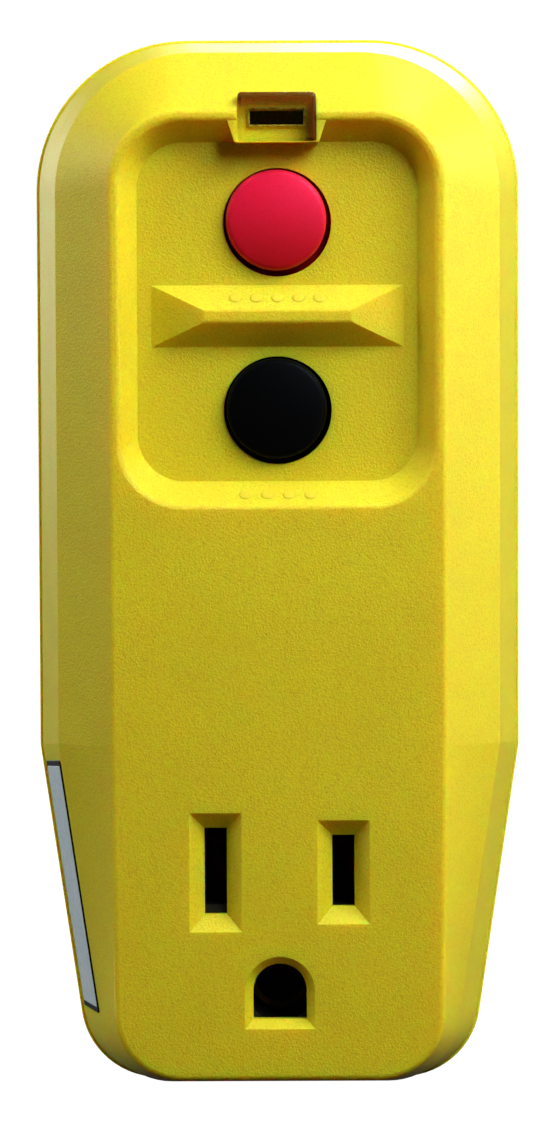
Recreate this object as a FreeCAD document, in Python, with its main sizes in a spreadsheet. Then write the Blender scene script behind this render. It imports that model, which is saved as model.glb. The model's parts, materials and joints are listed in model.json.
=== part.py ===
"""Plug-in GFCI adapter: one grounded outlet on the front, two blades and a ground pin behind.

Units are millimetres. The origin lies on the wall face, midway between the two blades.
+Z is up, +X is to the right of someone facing the outlet, and the front looks along -Y.
"Depth" in this file is the distance in front of the wall face, so depth = -y.
"""
import FreeCAD, Part
import math
import os
import re

import Sketcher

Vector = FreeCAD.Vector

# Driving dimensions: alias -> millimetres (or degrees where the name says so).
DIMENSIONS = {
    # outer shape of the case: three outlines, from the front plateau back to the seam
    "front_depth": 34.0,
    "rim_depth": 25.0,
    "seam_depth": 6.0,
    "plateau_half": 16.5,
    "plateau_lean": 0.006,
    "plateau_top": 75.2,
    "plateau_bottom": -20.8,
    "plateau_top_corner": 7.0,
    "plateau_low_corner": 6.6,
    "rim_half": 22.3,
    "rim_top": 81.4,
    "rim_bottom": -22.5,
    "rim_top_corner": 14.0,
    "rim_low_corner": 7.2,
    "rim_taper": 12.0,
    "seam_half": 25.0,
    "seam_top": 83.6,
    "seam_bottom": -25.3,
    "seam_top_corner": 15.5,
    "seam_low_corner": 8.0,
    "seam_taper": 10.0,
    "plateau_taper": 12.5,
    "flank_lean": 0.148,
    "edge_round": 0.6,
    "wall": 2.2,
    # recess around the two buttons
    "recess_floor_depth": 31.0,
    "recess_half": 13.9,
    "recess_top": 72.2,
    "recess_bottom": 38.7,
    "recess_corner": 4.6,
    "recess_mouth_half": 15.6,
    "recess_mouth_top": 74.3,
    "recess_mouth_bottom": 36.3,
    "recess_mouth_corner": 6.2,
    "recess_floor_thick": 2.0,
    "crest_round": 0.6,
    "ridge_height": 2.3,
    "ridge_level": 55.05,
    "ridge_root": 0.5,
    "ridge_wide": 25.0,
    "ridge_tall": 6.1,
    "ridge_crest_wide": 14.6,
    "ridge_crest_tall": 1.2,
    "ridge_round": 0.5,
    # indicator window
    "lens_level": 74.6,
    "lens_wide": 7.7,
    "lens_tall": 4.8,
    "lens_thick": 2.0,
    "lens_front_depth": 33.9,
    "lens_gap": 0.05,
    "light_slot_wide": 5.3,
    "light_slot_tall": 1.5,
    "boss_low_wide": 8.3,
    "boss_high_wide": 10.3,
    "boss_tall": 3.0,
    # buttons
    "reset_level": 64.3,
    "test_level": 45.7,
    "button_hole_radius": 5.35,
    "button_radius": 5.0,
    "button_proud": 1.5,
    "button_round": 0.7,
    "flange_radius": 6.0,
    "flange_thick": 1.2,
    "flange_back_depth": 27.5,
    "stem_radius": 2.0,
    "test_stem_end": 18.8,
    "reset_stem_end": 24.0,
    "button_coil_radius": 3.2,
    "button_wire_radius": 0.3,
    "button_spring_pitch": 1.9,
    # outlet slots and blades, to the standard 15 A grounded pattern
    "slot_pitch": 12.7,
    "slot_wide": 2.2,
    "neutral_slot_tall": 8.6,
    "line_slot_tall": 7.1,
    "slot_lead": 1.5,
    "slot_lead_tall": 1.65,
    "slot_lead_deep": 1.5,
    "ground_level": -11.9,
    "ground_slot": 5.3,
    "ground_low": 2.9,
    "ground_lead": 0.85,
    "ground_lead_deep": 1.1,
    "blade_thick": 1.5,
    "line_blade_tall": 6.35,
    "neutral_blade_tall": 7.9,
    "blade_reach": 17.5,
    "blade_tail_depth": 7.5,
    "blade_chamfer": 0.6,
    "ground_pin_radius": 2.4,
    "ground_root_radius": 2.6,
    "ground_pin_reach": 20.0,
    "shoulder_thick": 1.8,
    "shoulder_wide": 4.0,
    "shoulder_extra": 3.0,
    "ground_shoulder_radius": 4.0,
    "blade_gap": 0.1,
    # rear cover
    "rear_lip": 0.25,
    "rear_wall": 2.4,
    "rear_round": 1.0,
    "rear_draft": 0.9,
    "screw_across": 17.5,
    "screw_high": 66.0,
    "low_screw_across": 13.2,
    "low_screw_high": -14.5,
    "boss_radius": 2.5,
    "low_boss_radius": 2.3,
    "rear_boss_radius": 3.2,
    "screw_radius": 1.25,
    "screw_gap": 0.1,
    "screw_head_radius": 2.3,
    "screw_head_thick": 1.6,
    "screw_sink": 0.3,
    "screw_end_depth": 17.0,
    "post_radius": 2.0,
    "board_post_across": 12.4,
    "board_post_low": 19.0,
    "board_post_high": 76.0,
    "board_screw_head": 1.2,
    # female contacts and their holder
    "leaf_thick": 0.8,
    "jaw_gap": 2.1,
    "jaw_tall": 6.4,
    "jaw_back_depth": 15.2,
    "jaw_front_depth": 24.5,
    "strip_depth": 19.4,
    "strip_centre": 9.5,
    "strip_wide": 3.0,
    "strip_top": 56.0,
    "strip_foot": 7.0,
    "tab_deep": 5.0,
    "tab_top": 9.0,
    "holder_half": 10.3,
    "holder_top": 6.0,
    "holder_bottom": -18.4,
    "holder_back_depth": 9.0,
    "pocket_gap": 0.3,
    "pocket_back_depth": 15.0,
    "sleeve_inner": 2.5,
    "sleeve_outer": 3.1,
    "sleeve_slit": 1.6,
    "strap_half": 2.0,
    # circuit board
    "board_depth": 8.0,
    "board_thick": 1.6,
    "board_half": 14.5,
    "board_bottom": 16.5,
    "board_top": 78.0,
    # current-sensing cores
    "core_level": 27.0,
    "core_hole": 3.2,
    "core_housing_radius": 9.4,
    "core_housing_wall": 0.9,
    "core_housing_front": 18.6,
    "core_in": 4.9,
    "core_out": 7.4,
    "winding_in": 4.3,
    "winding_out": 8.1,
    "winding_deep": 3.6,
    "core_deep": 2.2,
    "sense_winding_depth": 10.8,
    "neutral_winding_depth": 14.8,
    "winding_degrees": 310.0,
    # trip solenoid, its axis upright in front of the board
    "coil_axis_depth": 13.4,
    "coil_low": 42.9,
    "coil_high": 54.9,
    "bobbin_bore": 1.75,
    "bobbin_tube": 2.15,
    "bobbin_flange": 3.0,
    "bobbin_flange_thick": 0.8,
    "coil_radius": 2.8,
    "bracket_half": 4.2,
    "bracket_thick": 1.0,
    "bracket_front": 16.4,
    "bracket_back": 9.65,
    "bracket_base": 0.6,
    "plunger_radius": 1.6,
    "plunger_low": 44.9,
    "plunger_high": 59.2,
    "plunger_coil_radius": 2.15,
    "fine_wire_radius": 0.18,
    "plunger_spring_pitch": 0.9,
    # latch and contact mechanism under the reset button
    "frame_front": 19.0,
    "frame_plate": 1.5,
    "frame_half": 6.8,
    "frame_low": 40.0,
    "frame_high": 72.0,
    "frame_leg": 1.5,
    "latch_pin_radius": 1.2,
    "latch_pin_end": 10.2,
    "latch_half": 3.0,
    "latch_depth": 10.6,
    "latch_thick": 0.6,
    "latch_top": 69.0,
    "latch_tab_thick": 0.8,
    "latch_tab_front": 15.4,
    "plunger_travel": 1.5,
    "carrier_front": 16.8,
    "carrier_back": 12.8,
    "carrier_half": 6.0,
    "carrier_low": 60.8,
    "carrier_high": 67.8,
    "ear_half": 11.0,
    "ear_tall": 2.6,
    "ear_deep": 2.2,
    "carrier_pocket_radius": 2.2,
    "carrier_pocket_back": 13.8,
    "carrier_coil_radius": 1.65,
    "carrier_spring_pitch": 0.8,
    "arm_depth": 17.1,
    "arm_thick": 0.4,
    "arm_low": 53.0,
    "arm_high": 74.4,
    "arm_pivot": 74.0,
    "tip_level": 54.4,
    "tip_radius": 1.2,
    "tip_thick": 0.8,
    "contact_gap": 0.1,
    "terminal_front": 16.8,
    # small electrical pieces on the board
    "varistor_radius": 4.2,
    "varistor_across": 10.0,
    "varistor_level": 47.6,
    "varistor_thick": 3.2,
    "varistor_lift": 0.8,
    "capacitor_radius": 3.2,
    "capacitor_across": 10.6,
    "capacitor_level": 38.5,
    "capacitor_long": 7.0,
    "chip_across": 9.5,
    "chip_level": 60.0,
    "chip_wide": 4.0,
    "chip_thick": 1.5,
    "chip_tall": 9.0,
    "chip_lift": 0.4,
    "thyristor_wide": 4.5,
    "thyristor_thick": 2.2,
    "thyristor_tall": 5.0,
    "resistor_across": 12.5,
    "resistor_wide": 1.7,
    "resistor_thick": 1.4,
    "resistor_tall": 2.4,
    "resistor_lift": 0.2,
    "resistor_low": 24.0,
    "resistor_high": 66.0,
    "resistor_pitch": 3.5,
    "diode_radius": 1.2,
    "diode_tall": 3.6,
    "diode_lift": 1.3,
    "diode_low": 20.5,
    "diode_pitch": 5.0,
    "wire_radius": 0.8,
    "wire_across": 1.3,
    "wire_back_depth": 6.2,
    "wire_front_depth": 20.6,
    "wire_foot": 4.4,
    "wire_return": 38.2,
    "wire_bend": 2.2,
    "test_leaf_depth": 16.85,
    "test_leaf_thick": 0.25,
    "test_leaf_end": 12.6,
    "test_leaf_start": -1.5,
    "test_leaf_tall": 2.6,
    "led_radius": 1.5,
    "led_base_depth": 16.0,
    "led_tip_depth": 21.0,
    "led_rim_thick": 0.8,
    "led_lead_thick": 0.5,
    # rating label on the tapered left side
    "overcut": 0.01,
    "overlap": 0.2,
    "tray_margin": 0.3,
    "boss_root": 1.0,
    "boss_shy": 0.05,
    "boss_drop": 0.1,
    "lens_stand": 0.1,
    "stem_root": 0.5,
    "screw_hold": 0.2,
    "label_near": 0.06,
    "label_far": 0.97,
    "label_low": 0.05,
    "label_high": 0.86,
    "strip_shift": 0.3,
    "holder_gap": 0.05,
    "latch_way_gap": 0.4,
    "post_way_gap": 0.35,
    "core_gap": 0.1,
    "latch_pin_gap": 0.15,
    "stem_gap": 0.3,
    "latch_slot_gap": 0.3,
    "carrier_way_gap": 0.2,
    "spring_slack": 0.1,
    "label_thick": 0.12,
    "label_lift": 0.03,
}

doc = FreeCAD.newDocument("gfci_adapter")
sheet = doc.addObject("Spreadsheet::Sheet", "dims")
for row, (alias, number) in enumerate(DIMENSIONS.items(), start=1):
    sheet.set(f"A{row}", alias)
    sheet.set(f"B{row}", str(number))
    sheet.setAlias(f"B{row}", alias)
doc.recompute()

nodes = []


# ---------------------------------------------------------------- general helpers

def size(alias):
    """The number that the sheet holds under this alias."""
    return float(sheet.get(alias))


def formula(text):
    """An expression in which every word is an alias of the sheet."""
    return re.sub(r"[a-z]\w*", lambda word: "dims." + word.group(), str(text))


def bind(thing, **formulas):
    """Bind properties of a document object to formulas of the sheet's aliases."""
    for name, text in formulas.items():
        thing.setExpression(name, formula(text))


def place(thing, x="0", y="0", z="0"):
    """Bind an object's position to formulas of the sheet's aliases."""
    for axis, text in (("x", x), ("y", y), ("z", z)):
        thing.setExpression(f"Placement.Base.{axis}", formula(text))


def node(label, thing):
    """Name an object as one sub-part of the adapter."""
    thing.Label = label
    nodes.append(thing)
    return thing


def checked_volume(feature, before, grows):
    """Stop when a feature added or removed nothing."""
    change = feature.Shape.Volume - before
    if (change > 0) != grows or abs(change) < 1e-6:
        raise RuntimeError(f"{feature.Name} changed the volume by {change:.4f}")


# ---------------------------------------------------------------- PartDesign helpers

def new_body(label):
    return node(label, doc.addObject("PartDesign::Body", label))


def origin_feature(body, role):
    return next(item for item in body.Origin.OriginFeatures if item.Role == role)


def new_sketch(body, name, depth="0", x="0", z="0", role="XZ_Plane"):
    """A sketch parallel to the wall, its own origin at (x, z) and this depth."""
    sketch = body.newObject("Sketcher::SketchObject", name)
    sketch.AttachmentSupport = [(origin_feature(body, role), "")]
    sketch.MapMode = "FlatFace"
    for axis, text in (("x", x), ("y", z), ("z", depth)):
        sketch.setExpression(f"AttachmentOffset.Base.{axis}", formula(text))
    return sketch


def add_rectangle(sketch, wide, tall, name="box"):
    """A rectangle centred on the sketch's origin."""
    corners = [Vector(-5, -3), Vector(5, -3), Vector(5, 3), Vector(-5, 3)]
    first = sketch.GeometryCount
    for start, end in zip(corners, corners[1:] + corners[:1]):
        sketch.addGeometry(Part.LineSegment(start, end))
    for index in range(4):
        sketch.addConstraint(
            Sketcher.Constraint("Coincident", first + index, 2, first + (index + 1) % 4, 1))
    for index, kind in enumerate(("Horizontal", "Vertical", "Horizontal", "Vertical")):
        sketch.addConstraint(Sketcher.Constraint(kind, first + index))
    sketch.addConstraint(Sketcher.Constraint("Symmetric", first, 1, first + 1, 2, -1, 1))
    for kind, line, text in (("DistanceX", first, wide), ("DistanceY", first + 1, tall)):
        number = 10.0 if kind == "DistanceX" else 6.0
        index = sketch.addConstraint(Sketcher.Constraint(kind, line, 1, line, 2, number))
        label = f"{name}_{kind}"
        sketch.renameConstraint(index, label)
        sketch.setExpression(f"Constraints.{label}", formula(text))


def add_trapezoid(sketch, low_wide, high_wide, tall):
    """A trapezoid centred on the sketch's origin, its parallel sides level."""
    corners = [Vector(-4, -2), Vector(4, -2), Vector(5, 2), Vector(-5, 2)]
    for start, end in zip(corners, corners[1:] + corners[:1]):
        sketch.addGeometry(Part.LineSegment(start, end))
    for index in range(4):
        sketch.addConstraint(
            Sketcher.Constraint("Coincident", index, 2, (index + 1) % 4, 1))
    for index in (0, 2):
        sketch.addConstraint(Sketcher.Constraint("Symmetric", index, 1, index, 2, -2))
    bound = (
        ("low", "DistanceX", (0, 1), (0, 2), 8.0, low_wide),
        ("high", "DistanceX", (2, 2), (2, 1), 10.0, high_wide),
        ("half", "DistanceY", (-1, 1), (2, 1), 2.0, f"({tall}) / 2"),
        ("full", "DistanceY", (0, 2), (2, 1), 4.0, tall),
    )
    for name, kind, first, second, number, text in bound:
        index = sketch.addConstraint(Sketcher.Constraint(kind, *first, *second, number))
        sketch.renameConstraint(index, name)
        sketch.setExpression(f"Constraints.{name}", formula(text))


def add_circle(sketch, radius, name="circle"):
    """A circle centred on the sketch's origin."""
    index = sketch.addGeometry(Part.Circle(Vector(0, 0, 0), Vector(0, 0, 1), 5.0))
    sketch.addConstraint(Sketcher.Constraint("Coincident", index, 3, -1, 1))
    bound = sketch.addConstraint(Sketcher.Constraint("Radius", index, 5.0))
    sketch.renameConstraint(bound, name)
    sketch.setExpression(f"Constraints.{name}", formula(radius))


def feature(body, kind, name, sketch, grows, **formulas):
    """A feature of one sketch whose effect on the volume is checked."""
    before = body.Shape.Volume if body.Tip else 0.0
    made = body.newObject(f"PartDesign::{kind}", name)
    made.Profile = sketch
    bind(made, **formulas)
    doc.recompute()
    checked_volume(made, before, grows)
    return made


def pad(body, name, sketch, length):
    """Grow forwards from the sketch, away from the wall."""
    return feature(body, "Pad", name, sketch, True, Length=length)


def pocket(body, name, sketch, length):
    """Cut backwards from the sketch, towards the wall."""
    return feature(body, "Pocket", name, sketch, False, Length=length)


def rectangle_pad(body, name, depth, length, x, z, wide, tall):
    sketch = new_sketch(body, f"{name}_outline", depth, x, z)
    add_rectangle(sketch, wide, tall)
    return pad(body, name, sketch, length)


def rectangle_pocket(body, name, depth, length, x, z, wide, tall):
    sketch = new_sketch(body, f"{name}_outline", depth, x, z)
    add_rectangle(sketch, wide, tall)
    return pocket(body, name, sketch, length)


def circle_pad(body, name, depth, length, x, z, radius):
    sketch = new_sketch(body, f"{name}_outline", depth, x, z)
    add_circle(sketch, radius)
    return pad(body, name, sketch, length)


def circle_pocket(body, name, depth, length, x, z, radius):
    sketch = new_sketch(body, f"{name}_outline", depth, x, z)
    add_circle(sketch, radius)
    return pocket(body, name, sketch, length)


def loft(body, name, kind, sketches, grows):
    """A ruled loft through sketches that have equally many edges."""
    before = body.Shape.Volume if body.Tip else 0.0
    made = body.newObject(f"PartDesign::{kind}", name)
    made.Profile = sketches[0]
    made.Sections = sketches[1:]
    made.Ruled = True
    doc.recompute()
    checked_volume(made, before, grows)
    return made


def rectangle_loft(body, name, kind, back, front, grows):
    """A loft between two rectangles, each given as (depth, x, z, wide, tall)."""
    sketches = []
    for end, (depth, x, z, wide, tall) in (("back", back), ("front", front)):
        sketch = new_sketch(body, f"{name}_{end}", depth, x, z)
        add_rectangle(sketch, wide, tall)
        sketches.append(sketch)
    return loft(body, name, kind, sketches, grows)


def fillet(body, name, base, picks, radius):
    """Round the edges of a feature that picks() accepts."""
    edges = [f"Edge{i}" for i, edge in enumerate(base.Shape.Edges, start=1) if picks(edge)]
    if not edges:
        raise RuntimeError(f"{name} found no edges")
    made = body.newObject("PartDesign::Fillet", name)
    made.Base = (base, edges)
    bind(made, Radius=radius)
    doc.recompute()
    return made


def at_depth(edge, depth):
    """True for an edge that lies wholly at this depth."""
    box = edge.BoundBox
    return abs(box.YMin + depth) < 1e-4 and abs(box.YMax + depth) < 1e-4


# ---------------------------------------------------------------- Part helpers

def block(name, x, depth, z, wide, deep, tall):
    """A box centred on x and z that reaches forwards from this depth."""
    made = doc.addObject("Part::Box", name)
    bind(made, Length=wide, Width=deep, Height=tall)
    place(made, f"{x} - ({wide}) / 2", f"-({depth}) - ({deep})", f"{z} - ({tall}) / 2")
    return made


def rod(name, x, depth, z, radius, length):
    """A cylinder square to the wall that reaches forwards from this depth."""
    made = doc.addObject("Part::Cylinder", name)
    made.Placement.Rotation = FreeCAD.Rotation(Vector(1, 0, 0), 90)
    bind(made, Radius=radius, Height=length)
    place(made, x, f"-({depth})", z)
    return made


def upright(name, x, depth, low, radius, tall):
    """A cylinder along Z that starts at this level."""
    made = doc.addObject("Part::Cylinder", name)
    bind(made, Radius=radius, Height=tall)
    place(made, x, f"-({depth})", low)
    return made


def fuse(name, pieces):
    made = doc.addObject("Part::MultiFuse", name)
    made.Shapes = pieces
    made.Refine = True
    return made


def cut(name, base, tools):
    made = doc.addObject("Part::Cut", name)
    made.Base = base
    made.Tool = tools[0] if len(tools) == 1 else fuse(f"{name}_tools", tools)
    return made


def group(name, pieces):
    """Separate solids that share one node."""
    made = doc.addObject("Part::Compound", name)
    made.Links = pieces
    return made


# ---------------------------------------------------------------- outlines of the case

def outline_points(half, low_half, top, bottom, top_corner, low_corner, taper):
    """Right half of the case outline: straight ends and the middle points of its two arcs."""
    lean = Vector(low_half - half, bottom - taper).normalize()
    turn = math.acos(max(-1.0, min(1.0, lean.x)))
    reach = low_corner * math.tan((math.pi - turn) / 2)
    corner = Vector(low_half, bottom)
    low_start = corner - lean * reach
    low_end = corner - Vector(reach, 0)
    low_centre = low_end + Vector(0, low_corner)
    low_middle = low_centre + (corner - low_centre).normalize() * low_corner
    top_centre = Vector(half - top_corner, top - top_corner)
    top_middle = top_centre + Vector(1, 1).normalize() * top_corner
    return [
        Vector(half - top_corner, top), top_middle, Vector(half, top - top_corner),
        Vector(half, taper), low_start, low_middle, low_end,
    ]


def add_outline(sketch, numbers):
    """The whole outline, mirrored about x = 0, as four arcs and six straights."""
    right = outline_points(*numbers)
    left = [Vector(-point.x, point.y) for point in right]
    segments = [
        Part.LineSegment(left[0], right[0]),
        Part.Arc(right[0], right[1], right[2]),
        Part.LineSegment(right[2], right[3]),
        Part.LineSegment(right[3], right[4]),
        Part.Arc(right[4], right[5], right[6]),
        Part.LineSegment(right[6], left[6]),
        Part.Arc(left[6], left[5], left[4]),
        Part.LineSegment(left[4], left[3]),
        Part.LineSegment(left[3], left[2]),
        Part.Arc(left[2], left[1], left[0]),
    ]
    sketch.addGeometry(segments)


def outline_numbers(section, inset=0.0):
    """Outline sizes of one section of the case, drawn in by an even margin.

    The rim and the seam share one lean, so the flanks between them are flat.
    """
    half = size(f"{section}_half")
    lean = size("plateau_lean" if section == "plateau" else "flank_lean")
    drop = size(f"{section}_taper") - size(f"{section}_bottom")
    return [
        half - inset,
        half - lean * drop - inset,
        size(f"{section}_top") - inset,
        size(f"{section}_bottom") + inset,
        max(size(f"{section}_top_corner") - inset, 0.8),
        max(size(f"{section}_low_corner") - inset, 0.8),
        size(f"{section}_taper"),
    ]


def outline_sketch(body, name, section, depth, inset=0.0):
    sketch = new_sketch(body, name, depth)
    add_outline(sketch, outline_numbers(section, inset))
    return sketch


def recess_sketch(body, name, depth, prefix, margin=0.0):
    """Rounded rectangle of the button recess at one depth, grown by an even margin."""
    half = size(f"{prefix}_half") + margin
    top = size(f"{prefix}_top") + margin
    bottom = size(f"{prefix}_bottom") - margin
    corner = size(f"{prefix}_corner") + margin
    sketch = new_sketch(body, name, depth)
    bend = corner * (1 - math.sqrt(0.5))
    ends = []
    for sx, z, sz in ((1, top, 1), (1, bottom, -1), (-1, bottom, -1), (-1, top, 1)):
        level = Vector(sx * (half - corner), z)
        middle = Vector(sx * (half - bend), z - sz * bend)
        side = Vector(sx * half, z - sz * corner)
        ends.append((level, middle, side) if sx * sz > 0 else (side, middle, level))
    segments = []
    for index, (start, middle, end) in enumerate(ends):
        segments.append(Part.Arc(start, middle, end))
        segments.append(Part.LineSegment(end, ends[(index + 1) % 4][0]))
    sketch.addGeometry(segments)
    return sketch


# ---------------------------------------------------------------- case

def make_front_cover():
    body = new_body("front_cover")
    sections = [("seam", "seam_depth"), ("rim", "rim_depth"), ("plateau", "front_depth")]
    outer = [outline_sketch(body, f"outer_{s}", s, d) for s, d in sections]
    shape = loft(body, "outer", "AdditiveLoft", outer, True)
    fillet(body, "edge", shape, lambda e: at_depth(e, size("front_depth")), "edge_round")
    wall = size("wall")
    inner = [
        outline_sketch(body, "inner_seam", "seam", "seam_depth - overcut", wall),
        outline_sketch(body, "inner_rim", "rim", "rim_depth - wall / 3", wall),
        outline_sketch(body, "inner_plateau", "plateau", "front_depth - wall", wall),
    ]
    loft(body, "cavity", "SubtractiveLoft", inner, False)
    add_recess(body)
    add_outlet_slots(body)
    add_front_bosses(body)
    return body


def add_recess(body):
    """Tray for the two buttons, the ridge between them and the indicator's boss."""
    tray = recess_sketch(
        body, "tray_outline", "recess_floor_depth - recess_floor_thick", "recess_mouth",
        size("tray_margin"))
    pad(body, "tray", tray, "front_depth - 1 - recess_floor_depth + recess_floor_thick")
    sketches = [
        recess_sketch(body, "recess_floor", "recess_floor_depth", "recess"),
        recess_sketch(body, "recess_mouth", "front_depth", "recess_mouth"),
    ]
    recess = loft(body, "recess", "SubtractiveLoft", sketches, False)
    fillet(body, "crest", recess, on_recess_mouth, "crest_round")
    boss = new_sketch(
        body, "boss_outline", "recess_floor_depth - boss_root", "0",
        "lens_level - lens_tall / 2 - boss_drop + boss_tall / 2")
    add_trapezoid(boss, "boss_low_wide", "boss_high_wide", "boss_tall")
    pad(body, "indicator_boss", boss,
        "lens_front_depth - recess_floor_depth + boss_root - boss_shy")
    rectangle_pocket(
        body, "lens_seat", "front_depth + 1", "front_depth + 1 - lens_front_depth + lens_thick",
        "0", "lens_level", "lens_wide + 2 * lens_gap", "lens_tall + 2 * lens_gap")
    rectangle_pocket(
        body, "light_slot", "front_depth", "6", "0", "lens_level", "light_slot_wide",
        "light_slot_tall")
    for name in ("reset", "test"):
        circle_pocket(
            body, f"{name}_hole", "recess_floor_depth + 1", "recess_floor_thick + 2",
            "0", f"{name}_level", "button_hole_radius")
    ridge = rectangle_loft(
        body, "ridge", "AdditiveLoft",
        ("recess_floor_depth - ridge_root", "0", "ridge_level",
         "ridge_wide + (ridge_wide - ridge_crest_wide) * ridge_root / ridge_height",
         "ridge_tall + (ridge_tall - ridge_crest_tall) * ridge_root / ridge_height"),
        ("recess_floor_depth + ridge_height", "0", "ridge_level", "ridge_crest_wide",
         "ridge_crest_tall"), True)
    crest_depth = size("recess_floor_depth") + size("ridge_height")
    fillet(body, "ridge_crest", ridge, lambda e: at_depth(e, crest_depth), "ridge_round")


def on_recess_mouth(edge):
    """True for an edge along the crest where the recess wall meets the front."""
    half = size("recess_mouth_half")
    top = size("recess_mouth_top")
    bottom = size("recess_mouth_bottom")
    corner = size("recess_mouth_corner")
    for share in (0.1, 0.5, 0.9):
        first, last = edge.ParameterRange
        point = edge.valueAt(first + (last - first) * share)
        across = abs(point.x) - half + corner
        along = abs(point.z - (top + bottom) / 2) - (top - bottom) / 2 + corner
        outside = math.hypot(max(across, 0), max(along, 0)) + min(max(across, along), 0)
        if abs(outside - corner) > 0.15 or point.y > -size("front_depth") + 0.5:
            return False
    return True


def add_outlet_slots(body):
    """Two blade slots and a D-shaped ground slot, each with a sloped lead-in."""
    for name, side in (("neutral", "-"), ("line", "")):
        x = f"{side}slot_pitch / 2"
        tall = f"{name}_slot_tall"
        rectangle_pocket(
            body, f"{name}_slot", "front_depth + 1", "wall + 2", x, "0", "slot_wide", tall)
        rectangle_loft(
            body, f"{name}_lead", "SubtractiveLoft",
            ("front_depth - slot_lead_deep", x, "0", "slot_wide", tall),
            ("front_depth + overcut", x, "0", "slot_wide + 2 * slot_lead",
             f"{tall} + 2 * slot_lead_tall"), False)
    pocket(body, "ground_slot", arch_sketch(body, "ground_slot", "front_depth + 1", "0"),
           "wall + 2")
    lead = [
        arch_sketch(body, "ground_lead_root", "front_depth - ground_lead_deep", "0"),
        arch_sketch(body, "ground_lead_mouth", "front_depth + overcut", "ground_lead"),
    ]
    loft(body, "ground_lead", "SubtractiveLoft", lead, False)


def arch_sketch(body, name, depth, margin):
    """The ground slot's outline at this depth, widened by a margin all round."""
    sketch = new_sketch(body, f"{name}_outline", depth, "0", "ground_level")
    add_arch(sketch, f"ground_slot + 2 * {margin}", f"ground_low + {margin}")
    return sketch


def add_arch(sketch, wide, low):
    """A half circle on straight sides; the circle's centre is the sketch's origin."""
    sketch.addGeometry([
        Part.LineSegment(Vector(-3, 0), Vector(-3, -3)),
        Part.LineSegment(Vector(-3, -3), Vector(3, -3)),
        Part.LineSegment(Vector(3, -3), Vector(3, 0)),
        Part.Arc(Vector(3, 0), Vector(0, 3), Vector(-3, 0)),
    ])
    for index in range(3):
        sketch.addConstraint(Sketcher.Constraint("Coincident", index, 2, index + 1, 1))
    sketch.addConstraint(Sketcher.Constraint("Coincident", 3, 2, 0, 1))
    sketch.addConstraint(Sketcher.Constraint("Horizontal", 1))
    sketch.addConstraint(Sketcher.Constraint("Vertical", 0))
    sketch.addConstraint(Sketcher.Constraint("Vertical", 2))
    sketch.addConstraint(Sketcher.Constraint("Coincident", 3, 3, -1, 1))
    sketch.addConstraint(Sketcher.Constraint("Symmetric", 0, 1, 2, 2, -1, 1))
    for name, kind, first, second in (
            ("wide", "DistanceX", (1, 1), (1, 2)), ("low", "DistanceY", (1, 1), (-1, 1))):
        number = 6.0 if name == "wide" else 3.0
        index = sketch.addConstraint(Sketcher.Constraint(kind, *first, *second, number))
        sketch.renameConstraint(index, name)
    sketch.setExpression("Constraints.wide", formula(wide))
    sketch.setExpression("Constraints.low", formula(low))


def add_front_bosses(body):
    """Four pillars that take the cover screws, from the seam forwards."""
    for name, x, z, radius, length in screw_places():
        circle_pad(body, f"{name}_pillar", "seam_depth", length, x, z, radius)
        circle_pocket(
            body, f"{name}_pilot", "screw_end_depth", "screw_end_depth - seam_depth + 1",
            x, z, "screw_radius")


def screw_places():
    """Name, x, z, pillar radius and pillar length at each of the four cover screws."""
    places = []
    for side, sign in (("right", ""), ("left", "-")):
        places.append((f"{side}_high", f"{sign}screw_across", "screw_high", "boss_radius",
                       "rim_depth - seam_depth + 1"))
        places.append((f"{side}_low", f"{sign}low_screw_across", "low_screw_high",
                       "low_boss_radius", "front_depth - seam_depth - 1.5"))
    return places


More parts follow.
